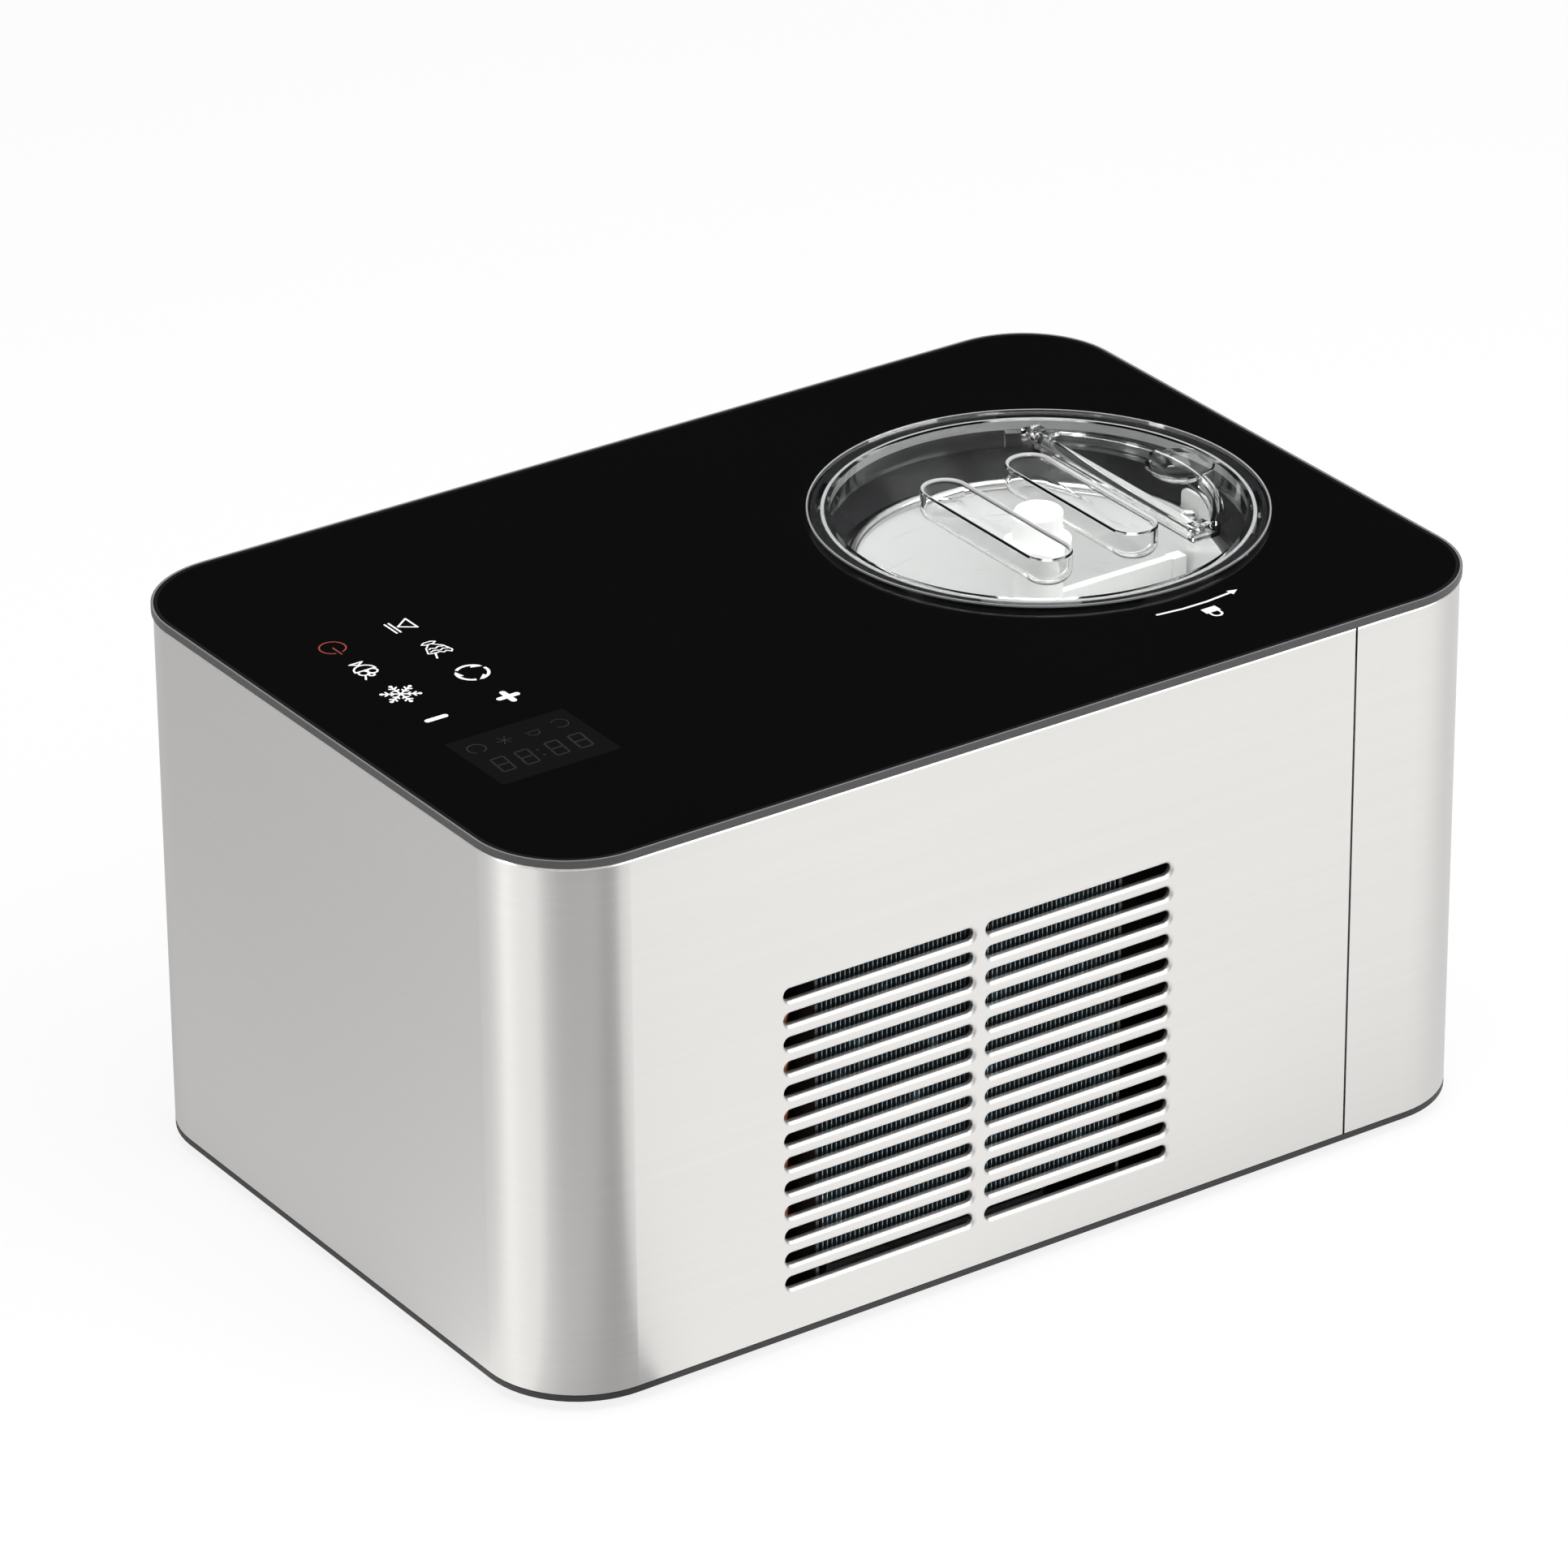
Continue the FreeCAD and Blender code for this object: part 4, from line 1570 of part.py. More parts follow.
def make_lid():
    """Clear lid: disc, skirt, bayonet tabs, finger pockets, filler opening, hinge ears and scoop."""
    skirt_in = "(skirt_radius - skirt_wall)"
    disc = turned("lid_disc", [
        ("0", LID_LOW), (skirt_in, LID_LOW), (skirt_in, SKIRT_LOW), ("skirt_radius", SKIRT_LOW),
        ("skirt_radius", LID_LOW), ("lid_radius", LID_LOW), ("lid_radius", LID_TOP), ("0", LID_TOP),
    ])
    solids, tools = [disc], []
    tab_height = f"{COLLAR_LOW} - tab_gap - {SKIRT_LOW}"
    for i in range(SIZES["tab_count"]):
        low = (AXIS_X, "0", SKIRT_LOW)
        sector = wedge(
            f"tab_sector_{i}", "skirt_radius + tab_reach", "tab_angle", f"tab_start + {i} * 360 / tab_count",
            tab_height, low)
        inside = rod(f"tab_inside_{i}", "skirt_radius - skirt_wall / 2", tab_height, low)
        solids.append(cut(f"tab_{i}", sector, inside))
    pocket_low = f"({LID_TOP} - pocket_depth - lid_wall)"
    for sign in (-1, 1):
        tag = "low" if sign < 0 else "high"
        middle = (lid_x(f"{sign} * pocket_offset"), "0")
        shell_top = f"{LID_LOW} + lid_thickness / 2"
        for name, grow, low, high, radius in (
            ("pocket_shell", "lid_wall", pocket_low, shell_top, "pocket_round + lid_wall"),
            ("pocket_well", "0", f"{pocket_low} + lid_wall", LID_TOP, "pocket_round"),
        ):
            size = (f"pocket_length + 2 * {grow}", f"2 * (pocket_half_width + {grow})")
            runs = [((a[1], a[0]), (b[1], b[0])) for a, b in reversed(slot_runs("0", "0", *size))]
            form = pad(f"{name}_{tag}", "XY_Plane", [runs], f"{high} - {low}")
            place(form, (middle[0], middle[1], low))
            shaped = round_off(f"{name}_{tag}_round", form, radius, at_level(low))
            (solids if name == "pocket_shell" else tools).append(shaped)
    ledge_low = f"({HINGE_Z} - flap_rib_depth - flap_seat_gap - flap_ledge - flap_thickness)"
    opening = (
        "(flap_radius + flap_gap)",
        "(flap_hinge_x - barrel_radius - barrel_gap)",
        "(flap_half_width + barrel_gap)",
    )
    wall = [opening[0] + " + lid_wall", opening[1] + " - lid_wall", opening[2] + " + lid_wall"]
    solids.append(filler_shape("filler_wall", *wall, ledge_low, f"{LID_LOW} + lid_thickness / 2 - {ledge_low}"))
    clear_low = f"({ledge_low} + flap_ledge)"
    tools.append(filler_shape("filler_clear", *opening, clear_low, f"{LID_TOP} + cut_margin - {clear_low}"))
    hole = ["flap_radius - flap_ledge_width", "flap_hinge_x", "flap_half_width - flap_ledge_width"]
    tools.append(filler_shape("filler_hole", *hole, f"{ledge_low} - cut_margin", f"{LID_TOP} - {ledge_low}"))
    scoop_at = (lid_x("-scoop_x"), "0", f"{LID_TOP} + scoop_rise")
    bounds = (f"{skirt_in} + skirt_wall / 2", f"{LID_TOP} - {SKIRT_LOW}", (AXIS_X, "0", SKIRT_LOW))
    dome = common(
        "scoop_dome", ball("scoop_shell", "scoop_radius + lid_wall", scoop_at), rod("scoop_limit", *bounds))
    inside = filler_shape(
        "scoop_inside", *opening, f"{SKIRT_LOW} - cut_margin", f"{LID_TOP} - {SKIRT_LOW} + 2 * cut_margin")
    solids.append(cut("scoop_cup", dome, inside))
    well = ball("scoop_well", "scoop_radius", scoop_at)
    tools.append(well)
    # The cup runs on under the flap, so that the scoop stays shut towards the bowl
    under_flap = filler_shape("scoop_under", *opening, SKIRT_LOW, f"{FLAP_LOW} - flap_seat_gap - {SKIRT_LOW}")
    inner_cup = cut("scoop_inner_cup", common("scoop_inner", dome, under_flap), well)
    for sign in (-1, 1):
        tag = "low" if sign < 0 else "high"
        near = "(flap_half_width + hinge_side_gap)"
        start = f"{sign} * {near} - {(1 - sign) // 2} * hinge_ear_length"
        low = (lid_x("-flap_hinge_x - hinge_ear_width / 2"), start, LID_LOW)
        ear_size = ("hinge_ear_width", "hinge_ear_length", f"{LID_TOP} + hinge_ear_rise - {LID_LOW}")
        solids.append(block(f"hinge_ear_{tag}", ear_size, low))
        bore_length = "(hinge_side_gap + hinge_ear_length - hinge_cap)"
        bore = f"{sign} * flap_half_width - {(1 - sign) // 2} * {bore_length}"
        tools.append(rod(
            f"hinge_bore_{tag}", "pin_radius + running_gap", bore_length,
            (lid_x("-flap_hinge_x"), bore, HINGE_Z), "y"))
    shell = cut("lid_shell", fuse("lid_solids", solids), *tools)
    moulded = fuse("lid_moulded", [shell, inner_cup])
    reach = val("pocket_offset + pocket_half_width + fit_gap")
    level = at_level(LID_TOP)

    def pocket_rim(edge):
        box = edge.BoundBox
        across = max(abs(box.XMin - val(AXIS_X)), abs(box.XMax - val(AXIS_X)))
        return level(edge) and across < reach

    keep("lid", round_off("lid", moulded, "pocket_rim_round", pocket_rim))


def make_gasket():
    """Silicone ring round the lid's skirt, on which the lid turns."""
    inner = "(skirt_radius + gasket_gap)"
    low = (AXIS_X, "0", f"{LID_LOW} - lid_seat_gap - gasket_height")
    keep("lid_gasket", ring("lid_gasket", f"{inner} + gasket_width", inner, "gasket_height", low))


def make_flap():
    """Filler flap: plate, edge rib, hinge barrel and its two end pins."""
    outline_sizes = ("flap_radius", "flap_hinge_x", "flap_half_width")
    plate = filler_shape("flap_plate", *outline_sizes, FLAP_LOW, "flap_thickness")
    rib_low = f"({FLAP_LOW} - flap_rib_depth)"
    rim = filler_shape("flap_rim", *outline_sizes, rib_low, "flap_rib_depth + flap_thickness / 2")
    inner = ("(flap_radius - flap_rib)", "(flap_hinge_x - barrel_radius)", "(flap_half_width - flap_rib)")
    under = f"{rib_low} - cut_margin"
    hollow = filler_shape("flap_hollow", *inner, under, "flap_rib_depth + flap_thickness + cut_margin")
    thumb = block(
        "flap_thumb", ("flap_radius - flap_hinge_x", "2 * scoop_radius", "flap_rib_depth + cut_margin"),
        (lid_x("-flap_radius - cut_margin"), "-scoop_radius", under),
    )
    edge = cut("flap_edge", rim, hollow, thumb)
    barrel_low = (lid_x("-flap_hinge_x"), "-flap_half_width", HINGE_Z)
    barrel = rod("flap_barrel", "barrel_radius", "2 * flap_half_width", barrel_low, "y")
    reach = "(flap_half_width + hinge_side_gap + hinge_ear_length - hinge_cap - 2 * fit_gap)"
    pins = rod("flap_pins", "pin_radius", f"2 * {reach}", (lid_x("-flap_hinge_x"), f"-{reach}", HINGE_Z), "y")
    keep("filler_flap", fuse("filler_flap", [plate, edge, barrel, pins]))


def build():
    """Make every piece, check the document and write the files."""
    for make in (
        make_base, make_feet, make_wrap, make_seam_strip, make_top_frame, make_glass, make_posts, make_gland,
        make_pot, make_coil, make_jacket, make_gearbox, make_gears, make_compressor, make_condenser, make_fan,
        make_pipes, make_controls, make_power_board, make_bowl, make_bail, make_paddle,
        make_lid, make_gasket, make_flap,
    ):
        make()
    doc.recompute()
    faults = [obj.Name for obj in doc.Objects if "Invalid" in obj.State or "Error" in obj.State]
    faults += [obj.Label for obj in NODES if obj.Shape.isNull() or not obj.Shape.isValid()]
    if faults:
        raise RuntimeError(f"these objects failed: {faults}")
    os.makedirs("parts", exist_ok=True)
    for obj in NODES:
        obj.Shape.exportStep(f"parts/{obj.Label}.step")
        print(f"{obj.Label}: {len(obj.Shape.Solids)} solids, {obj.Shape.Volume / 1000:.2f} cm3")


build()
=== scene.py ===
"""Looks of a table-top ice cream maker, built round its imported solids."""
import json
import logging
import math
from dataclasses import dataclass
from enum import Enum
from typing import Dict, NamedTuple, Optional, Sequence, Tuple, Union

import bmesh
import bpy
from mathutils import Matrix, Vector


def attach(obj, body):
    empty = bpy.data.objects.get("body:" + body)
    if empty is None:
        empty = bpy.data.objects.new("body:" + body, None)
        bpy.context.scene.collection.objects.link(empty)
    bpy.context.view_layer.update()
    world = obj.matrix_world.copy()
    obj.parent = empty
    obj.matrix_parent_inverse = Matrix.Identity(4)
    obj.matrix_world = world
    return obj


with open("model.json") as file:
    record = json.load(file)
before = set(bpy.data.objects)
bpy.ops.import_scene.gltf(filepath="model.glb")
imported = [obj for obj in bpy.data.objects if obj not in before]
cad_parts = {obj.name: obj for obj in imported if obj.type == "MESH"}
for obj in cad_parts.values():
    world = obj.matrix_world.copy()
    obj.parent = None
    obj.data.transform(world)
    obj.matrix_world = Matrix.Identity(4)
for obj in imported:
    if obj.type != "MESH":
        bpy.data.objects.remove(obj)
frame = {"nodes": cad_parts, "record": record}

Colour = Tuple[float, float, float, float]
Place = Tuple[float, float, float]
Point = Tuple[float, float]

LOG = logging.getLogger("ice_cream_maker")
MM = 0.001
# The bowl's axis along the case and the glass's top face, in millimetres as all drawings are.
# Finishes measure in metres.
BOWL_X = -98.2
GLASS_TOP = 208.0
WHITE: Colour = (1.0, 1.0, 1.0, 1.0)
BLACK: Colour = (0.0, 0.0, 0.0, 1.0)


class Wire:
    """A node's output that can be used in arithmetic."""

    def __init__(self, graph: "Graph", socket: bpy.types.NodeSocket) -> None:
        """Keep the graph and the socket."""
        self.graph = graph
        self.socket = socket

    def _math(self, operation: str, first: "Value", second: "Value" = 0.0) -> "Wire":
        """Add one Math node."""
        return self.graph.wire("ShaderNodeMath", {"operation": operation}, {0: first, 1: second})

    def __add__(self, other: "Value") -> "Wire":
        """Sum."""
        return self._math("ADD", self, other)

    def __radd__(self, other: "Value") -> "Wire":
        """Sum, number first."""
        return self._math("ADD", other, self)

    def __sub__(self, other: "Value") -> "Wire":
        """Difference."""
        return self._math("SUBTRACT", self, other)

    def __rsub__(self, other: "Value") -> "Wire":
        """Difference, number first."""
        return self._math("SUBTRACT", other, self)

    def __mul__(self, other: "Value") -> "Wire":
        """Product."""
        return self._math("MULTIPLY", self, other)

    def __rmul__(self, other: "Value") -> "Wire":
        """Product, number first."""
        return self._math("MULTIPLY", other, self)

    def __pow__(self, other: "Value") -> "Wire":
        """Power."""
        return self._math("POWER", self, other)

    def __gt__(self, other: "Value") -> "Wire":
        """One where this is larger, else zero."""
        return self._math("GREATER_THAN", self, other)

    def __lt__(self, other: "Value") -> "Wire":
        """One where this is smaller, else zero."""
        return self._math("LESS_THAN", self, other)

    def most(self, other: "Value") -> "Wire":
        """The larger of two."""
        return self._math("MAXIMUM", self, other)

    def size(self) -> "Wire":
        """The value without its sign."""
        return self._math("ABSOLUTE", self)

    def rise(self, low: float, high: float) -> "Wire":
        """A smooth step from zero at low to one at high."""
        return self.graph.wire(
            "ShaderNodeMapRange", {"interpolation_type": "SMOOTHSTEP"}, {0: self, 1: low, 2: high})


Value = Union[Wire, float]
Paint = Union[Wire, Colour]


class Graph:
    """One material's or the world's node tree."""

    def __init__(self, tree: bpy.types.NodeTree) -> None:
        """Start from an empty tree."""
        self.tree = tree
        self.tree.nodes.clear()

    def add(
        self, kind: str, settings: Optional[dict] = None, inputs: Optional[dict] = None,
    ) -> bpy.types.Node:
        """Add a node.

        Args:
            kind: the node's type.
            settings: its own properties, with a ramp's stops under "stops".
            inputs: values or wires for its sockets, by name or number.

        Returns:
            The node.
        """
        node = self.tree.nodes.new(kind)
        for key, value in (settings or {}).items():
            if key == "stops":
                for index, (place, colour) in enumerate(value):
                    marks = node.color_ramp.elements
                    mark = marks[index] if index < 2 else marks.new(place)
                    mark.position, mark.color = place, colour
            else:
                setattr(node, key, value)
        for key, value in (inputs or {}).items():
            if isinstance(value, Wire):
                self.tree.links.new(value.socket, node.inputs[key])
            else:
                node.inputs[key].default_value = value
        return node

    def wire(
        self, kind: str, settings: Optional[dict] = None, inputs: Optional[dict] = None,
        output: Union[int, str] = 0,
    ) -> Wire:
        """Add a node and take one of its outputs."""
        return Wire(self, self.add(kind, settings, inputs).outputs[output])

    def blend(self, share: Value, first: Paint, second: Paint) -> Wire:
        """Mix two colours: a share of zero gives the first, one the second."""
        return self.wire("ShaderNodeMix", {"data_type": "RGBA"}, {0: share, 6: first, 7: second}, 2)

    def place(self) -> Wire:
        """The piece's own coordinates, in metres."""
        return self.wire("ShaderNodeTexCoord", output="Object")

    def axes(self) -> Tuple[Wire, Wire, Wire]:
        """The piece's three coordinates apart."""
        return self.split(self.place())

    def split(self, vector: Wire) -> Tuple[Wire, Wire, Wire]:
        """A vector's three shares."""
        x, y, z = self.add("ShaderNodeSeparateXYZ", {}, {0: vector}).outputs
        return Wire(self, x), Wire(self, y), Wire(self, z)

    def from_axis(self) -> Wire:
        """The distance from the bowl's upright axis.

        Returns:
            The distance in metres.
        """
        x, y, _ = self.axes()
        across = x - BOWL_X * MM
        return (across * across + y * y) ** 0.5

    def ray(self, kind: str) -> Wire:
        """One for a ray of a kind such as Camera, Glossy, Shadow or Transmission, else zero."""
        return self.wire("ShaderNodeLightPath", output=f"Is {kind} Ray")

    def noise(self, scale: Sequence[float], detail: float = 2.0, rough: float = 0.5) -> Wire:
        """Noise stretched by a scale along each axis.

        Args:
            scale: waves per metre along X, Y and Z.
            detail: how many finer layers it has.
            rough: how strong the finer layers are.

        Returns:
            A value from zero to one.
        """
        vector = self.wire("ShaderNodeMapping", {}, {"Vector": self.place(), "Scale": tuple(scale)})
        return self.wire(
            "ShaderNodeTexNoise", {}, {"Vector": vector, "Scale": 1.0, "Detail": detail, "Roughness": rough})


def new_material(name: str) -> Tuple[bpy.types.Material, Graph]:
    """Start an empty material.

    Args:
        name: its name.

    Returns:
        The material and its graph.
    """
    material = bpy.data.materials.new(name)
    material.use_nodes = True
    return material, Graph(material.node_tree)


class Surface(NamedTuple):
    """What a finish changes over a surface."""

    colour: Paint
    roughness: Value
    height: Optional[Wire] = None
    metallic: Optional[Wire] = None


@dataclass(frozen=True)
class Finish:
    """A moulded finish: fine mottling of colour and gloss over a fine grain."""

    name: str
    colour: Tuple[float, float, float]
    roughness: float = 0.45
    metallic: float = 0.0
    grain: float = 900.0
    grain_detail: float = 3.0
    mottle: float = 0.12
    sheen: float = 0.10
    bump: float = 0.10
    depth: float = 0.00006
    specular: float = 0.5
    coat: float = 0.0
    cloud_size: float = 30.0

    def shade(self, factor: float) -> Colour:
        """The finish's colour made lighter or darker."""
        return tuple(min(1.0, part * factor) for part in self.colour) + (1.0,)

    def mottled(self, graph: Graph, share: Wire) -> Wire:
        """The finish's colour, darker and lighter by its mottle."""
        return graph.blend(share, self.shade(1 - self.mottle), self.shade(1 + self.mottle))

    def gloss(self, share: Wire) -> Wire:
        """The finish's roughness, lower and higher by its sheen."""
        return share * (2 * self.sheen) + (self.roughness - self.sheen)

    def pattern(self, graph: Graph) -> Surface:
        """Mottled colour, gloss and grain.

        Args:
            graph: the material's graph.

        Returns:
            The varying inputs.
        """
        grain = graph.noise((self.grain,) * 3, self.grain_detail)
        cloud = graph.noise((self.grain / self.cloud_size,) * 3)
        return Surface(self.mottled(graph, (grain + cloud) * 0.5), self.gloss(cloud), grain)

    def fixed(self) -> Dict[str, float]:
        """Shader inputs that are the same all over."""
        return {"Metallic": self.metallic, "Specular IOR Level": self.specular, "Coat Weight": self.coat}

    def build(self) -> bpy.types.Material:
        """Make the material.

        Returns:
            The new material.
        """
        material, graph = new_material(self.name)
        surface = self.pattern(graph)
        inputs = {**self.fixed(), "Base Color": surface.colour, "Roughness": surface.roughness}
        if surface.metallic is not None:
            inputs["Metallic"] = surface.metallic
        if surface.height is not None:
            inputs["Normal"] = graph.wire(
                "ShaderNodeBump", {},
                {"Strength": self.bump, "Distance": self.depth, "Height": surface.height})
        shader = graph.wire("ShaderNodeBsdfPrincipled", {}, inputs)
        graph.add("ShaderNodeOutputMaterial", {}, {"Surface": self.close(graph, shader)})
        return material

    def close(self, graph: Graph, shader: Wire) -> Wire:
        """What reaches the output; a plain finish adds nothing."""
        return shader


@dataclass(frozen=True)
class BrushedSteel(Finish):
    """Sheet steel brushed round the case, with a rolled edge along its top that is shaped by bump and
    lightened by a painted highlight.
    """

    streak: float = 3600.0
    broad_streak: float = 600.0
    wander: float = 9.0
    broad_wander: float = 3.0
    clouds: float = 7.0
    weights: Tuple[float, float, float] = (0.45, 0.30, 0.25)
    scratch: float = 0.003
    roll: float = 0.50
    edge_low: float = 0.2039
    edge_high: float = 0.2049
    edge_highlight_share: float = 0.7
    edge_highlight_lift: float = 1.2
    edge_gloss: float = 0.1
    spread: float = 0.75
    spread_turn: float = 0.25

    def pattern(self, graph: Graph) -> Surface:
        """Horizontal streaks in two sizes and a painted highlight along the rolled top edge.

        Args:
            graph: the material's graph.

        Returns:
            The varying inputs.
        """
        fine = graph.noise((self.wander, self.wander, self.streak), rough=0.6)
        broad = graph.noise((self.broad_wander, self.broad_wander, self.broad_streak))
        cloud = graph.noise((self.clouds,) * 3, 1.0)
        share = fine * self.weights[0] + broad * self.weights[1] + cloud * self.weights[2]
        _, _, z = graph.axes()
        # The top edge band is shaped by bump, and its colour is lifted to a lighter shade: a painted
        # highlight.
        edge = z.rise(self.edge_low, self.edge_high)
        colour = graph.blend(edge * self.edge_highlight_share, self.mottled(graph, share), self.shade(self.edge_highlight_lift))
        roughness = self.gloss(share) - edge * self.edge_gloss
        return Surface(colour, roughness, fine * self.scratch - edge * self.roll)

    def fixed(self) -> Dict[str, float]:
        """Brushing spreads the shine up and down."""
        return {
            "Metallic": self.metallic, "Anisotropic": self.spread, "Anisotropic Rotation": self.spread_turn}


@dataclass(frozen=True)
class TurnedMetal(Finish):
    """Metal turned or drawn about an upright axis, with fine rings and faint cloudiness."""

    rings: float = 1500.0
    face_rings: float = 450.0
    ring_share: float = 0.6
    clouds: float = 40.0

    def pattern(self, graph: Graph) -> Surface:
        """Rings by radius and height.

        Args:
            graph: the material's graph.

        Returns:
            The varying inputs.
        """
        _, _, z = graph.axes()
        ring_at = graph.from_axis() * self.face_rings
        vector = graph.wire("ShaderNodeCombineXYZ", {}, {0: ring_at, 1: 0.0, 2: z * self.rings})
        ring = graph.wire("ShaderNodeTexNoise", {}, {"Vector": vector, "Scale": 1.0, "Detail": 2.0})
        cloud = graph.noise((self.clouds,) * 3)
        share = ring * self.ring_share + cloud * (1 - self.ring_share)
        return Surface(self.mottled(graph, share), self.gloss(share), ring)


@dataclass(frozen=True)
class BowlMetal(TurnedMetal):
    """Bowl: bare turned metal outside, a pale satin coat inside."""

    inside_radius: float = 0.0661
    floor_level: float = 0.0745
    outside: Colour = (0.66, 0.66, 0.665, 1.0)

    def pattern(self, graph: Graph) -> Surface:
        """Turned rings, with the inside and the outside told apart by radius and height.

        Args:
            graph: the material's graph.

        Returns:
            The varying inputs.
        """
        turned = super().pattern(graph)
        _, _, z = graph.axes()
        bare = (graph.from_axis() > self.inside_radius).most(z < self.floor_level)
        colour = graph.blend(bare, turned.colour, self.outside)
        return Surface(colour, turned.roughness, turned.height, bare * (1 - self.metallic) + self.metallic)


@dataclass(frozen=True)
class FrameFinish(Finish):
    """Top frame: grey satin rim with a thin painted highlight line along its top edge, black inside the line
    and down the throat.
    """

    throat_radius: float = 0.0829
    rim_level: float = 0.2045
    corner: Point = (0.1632, 0.0978)
    line_out: float = 0.0365
    line_in: float = 0.0359
    highlight_line_lift: float = 2.2
    throat: Colour = (0.010, 0.010, 0.011, 1.0)
    throat_gloss: float = 0.12

    def pattern(self, graph: Graph) -> Surface:
        """Rim, painted highlight line and throat told apart by the distance from the bowl's axis and from the
        rim's corners.

        Args:
            graph: the material's graph.

        Returns:
            The varying inputs.
        """
        x, y, z = graph.axes()
        past_x = (x.size() - self.corner[0]).most(0.0)
        past_y = (y.size() - self.corner[1]).most(0.0)
        reach = (past_x * past_x + past_y * past_y) ** 0.5
        inside = graph.from_axis() < self.throat_radius
        black = inside.most(z < self.rim_level).most(reach < self.line_in)
        grain = graph.noise((self.grain,) * 3, self.grain_detail)
        # A thin band along the rim's top edge is lifted to a lighter shade: a painted highlight.
        rim = graph.blend(reach < self.line_out, self.mottled(graph, grain), self.shade(self.highlight_line_lift))
        colour = graph.blend(black, rim, self.throat)
        return Surface(colour, self.gloss(grain) - black * self.throat_gloss, grain)


@dataclass(frozen=True)
class ClearPlastic(Finish):
    """Clear moulding with faint flow lines and painted highlights along its edges; light passes it without a
    dark shadow.
    """

    ior: float = 1.33
    flow: Place = (60.0, 60.0, 20.0)
    edge_radius: float = 0.0809
    edge_level: float = 0.2094
    edge_fade: float = 0.5 * MM
    edge_rise: float = 0.3 * MM
    edge_highlight_share: float = 0.30
    pocket_offset: float = 0.0185
    pocket_half_width: float = 0.0075
    pocket_reach: float = 0.0305
    rim_middle: float = 0.6 * MM
    rim_full: float = 0.3 * MM
    rim_fade: float = 0.8 * MM
    rim_highlight_share: float = 0.50
    highlight_shade: float = 0.95
    shadow_shade: float = 0.99
    shadow_share: float = 0.97

    def pattern(self, graph: Graph) -> Surface:
        """Faint flow lines in the gloss and the surface.

        Args:
            graph: the material's graph.

        Returns:
            The varying inputs.
        """
        flow = graph.noise(self.flow)
        colour = graph.blend(flow, self.shade(1 - self.mottle), self.shade(1.0))
        return Surface(colour, self.gloss(flow), flow)

    def fixed(self) -> Dict[str, float]:
        """Full transmission."""
        return {"Transmission Weight": 1.0, "IOR": self.ior}

    def close(self, graph: Graph, shader: Wire) -> Wire:
        """Let shadow rays through and paint highlights on the outer edge and the rims of the finger pockets.

        Args:
            graph: the material's graph.
            shader: the clear shader.

        Returns:
            The shader for the output.
        """
        # A pale diffuse shader mixed in at the lid's outer edge and the pockets' rims paints highlights
        # there.
        pale = graph.wire("ShaderNodeBsdfDiffuse", {}, {"Color": self.shade(self.highlight_shade)})
        highlighted = graph.wire("ShaderNodeMixShader", {}, {0: self.edges(graph), 1: shader, 2: pale})
        open_air = graph.wire("ShaderNodeBsdfTransparent", {}, {"Color": self.shade(self.shadow_shade)})
        passed = graph.ray("Shadow") * self.shadow_share
        return graph.wire("ShaderNodeMixShader", {}, {0: passed, 1: highlighted, 2: open_air})

    def edges(self, graph: Graph) -> Wire:
        """How strong the painted highlight is at each place: the lid's outer edge and the pockets' rims.

        Args:
            graph: the material's graph.

        Returns:
            The share of the pale shader that paints the highlights.
        """
        x, y, z = graph.axes()
        outer = graph.from_axis().rise(self.edge_radius, self.edge_radius + self.edge_fade)
        edge = outer * z.rise(self.edge_level, self.edge_level + self.edge_rise)
        past = (y.size() - self.pocket_reach).most(0.0)
        aside = (x - BOWL_X * MM).size() - self.pocket_offset
        wall = (past * past + aside * aside) ** 0.5 - self.pocket_half_width
        rim = 1.0 - (wall - self.rim_middle).size().rise(self.rim_full, self.rim_fade)
        high = z.rise(self.edge_level - self.rim_middle, self.edge_level)
        return (edge * self.edge_highlight_share).most(rim * high * self.rim_highlight_share)


@dataclass(frozen=True)
class FinCoat(Finish):
    """Dark coated fins with a worn bare metal shine along some of them."""

    pitch: float = 1.9 * MM
    wear_across: float = 30.0
    wear_up: float = 60.0
    patches: Place = (40.0, 40.0, 60.0)
    worn_from: float = 0.28
    worn_full: float = 0.42
    worn_lift: float = 2.6

    def pattern(self, graph: Graph) -> Surface:
        """Each fin a little different, with worn patches.

        Args:
            graph: the material's graph.

        Returns:
            The varying inputs.
        """
        wear = graph.noise((1 / self.pitch, self.wear_across, self.wear_up))
        patch = graph.noise(self.patches)
        bare = (wear * patch).rise(self.worn_from, self.worn_full)
        colour = graph.blend(bare, self.shade(1.0), self.shade(self.worn_lift))
        return Surface(colour, self.gloss(wear), wear)


@dataclass(frozen=True)
class BoardCoat(Finish):
    """Lacquered circuit board with a pattern of copper tracks under the lacquer."""

    track: float = 220.0
    track_from: float = 0.42
    track_full: float = 0.50
    track_lift: float = 1.9
    gap_shade: float = 0.8
    track_rough: float = 0.1

    def pattern(self, graph: Graph) -> Surface:
        """Tracks as the borders of a pattern of cells.

        Args:
            graph: the material's graph.

        Returns:
            The varying inputs.
        """
        cells = graph.wire(
            "ShaderNodeTexVoronoi", {"distance": "MANHATTAN", "feature": "F1"},
            {"Vector": graph.place(), "Scale": self.track})
        line = cells.rise(self.track_from, self.track_full)
        colour = graph.blend(line, self.shade(self.gap_shade), self.shade(self.track_lift))
        return Surface(colour, line * self.track_rough + self.roughness, line)


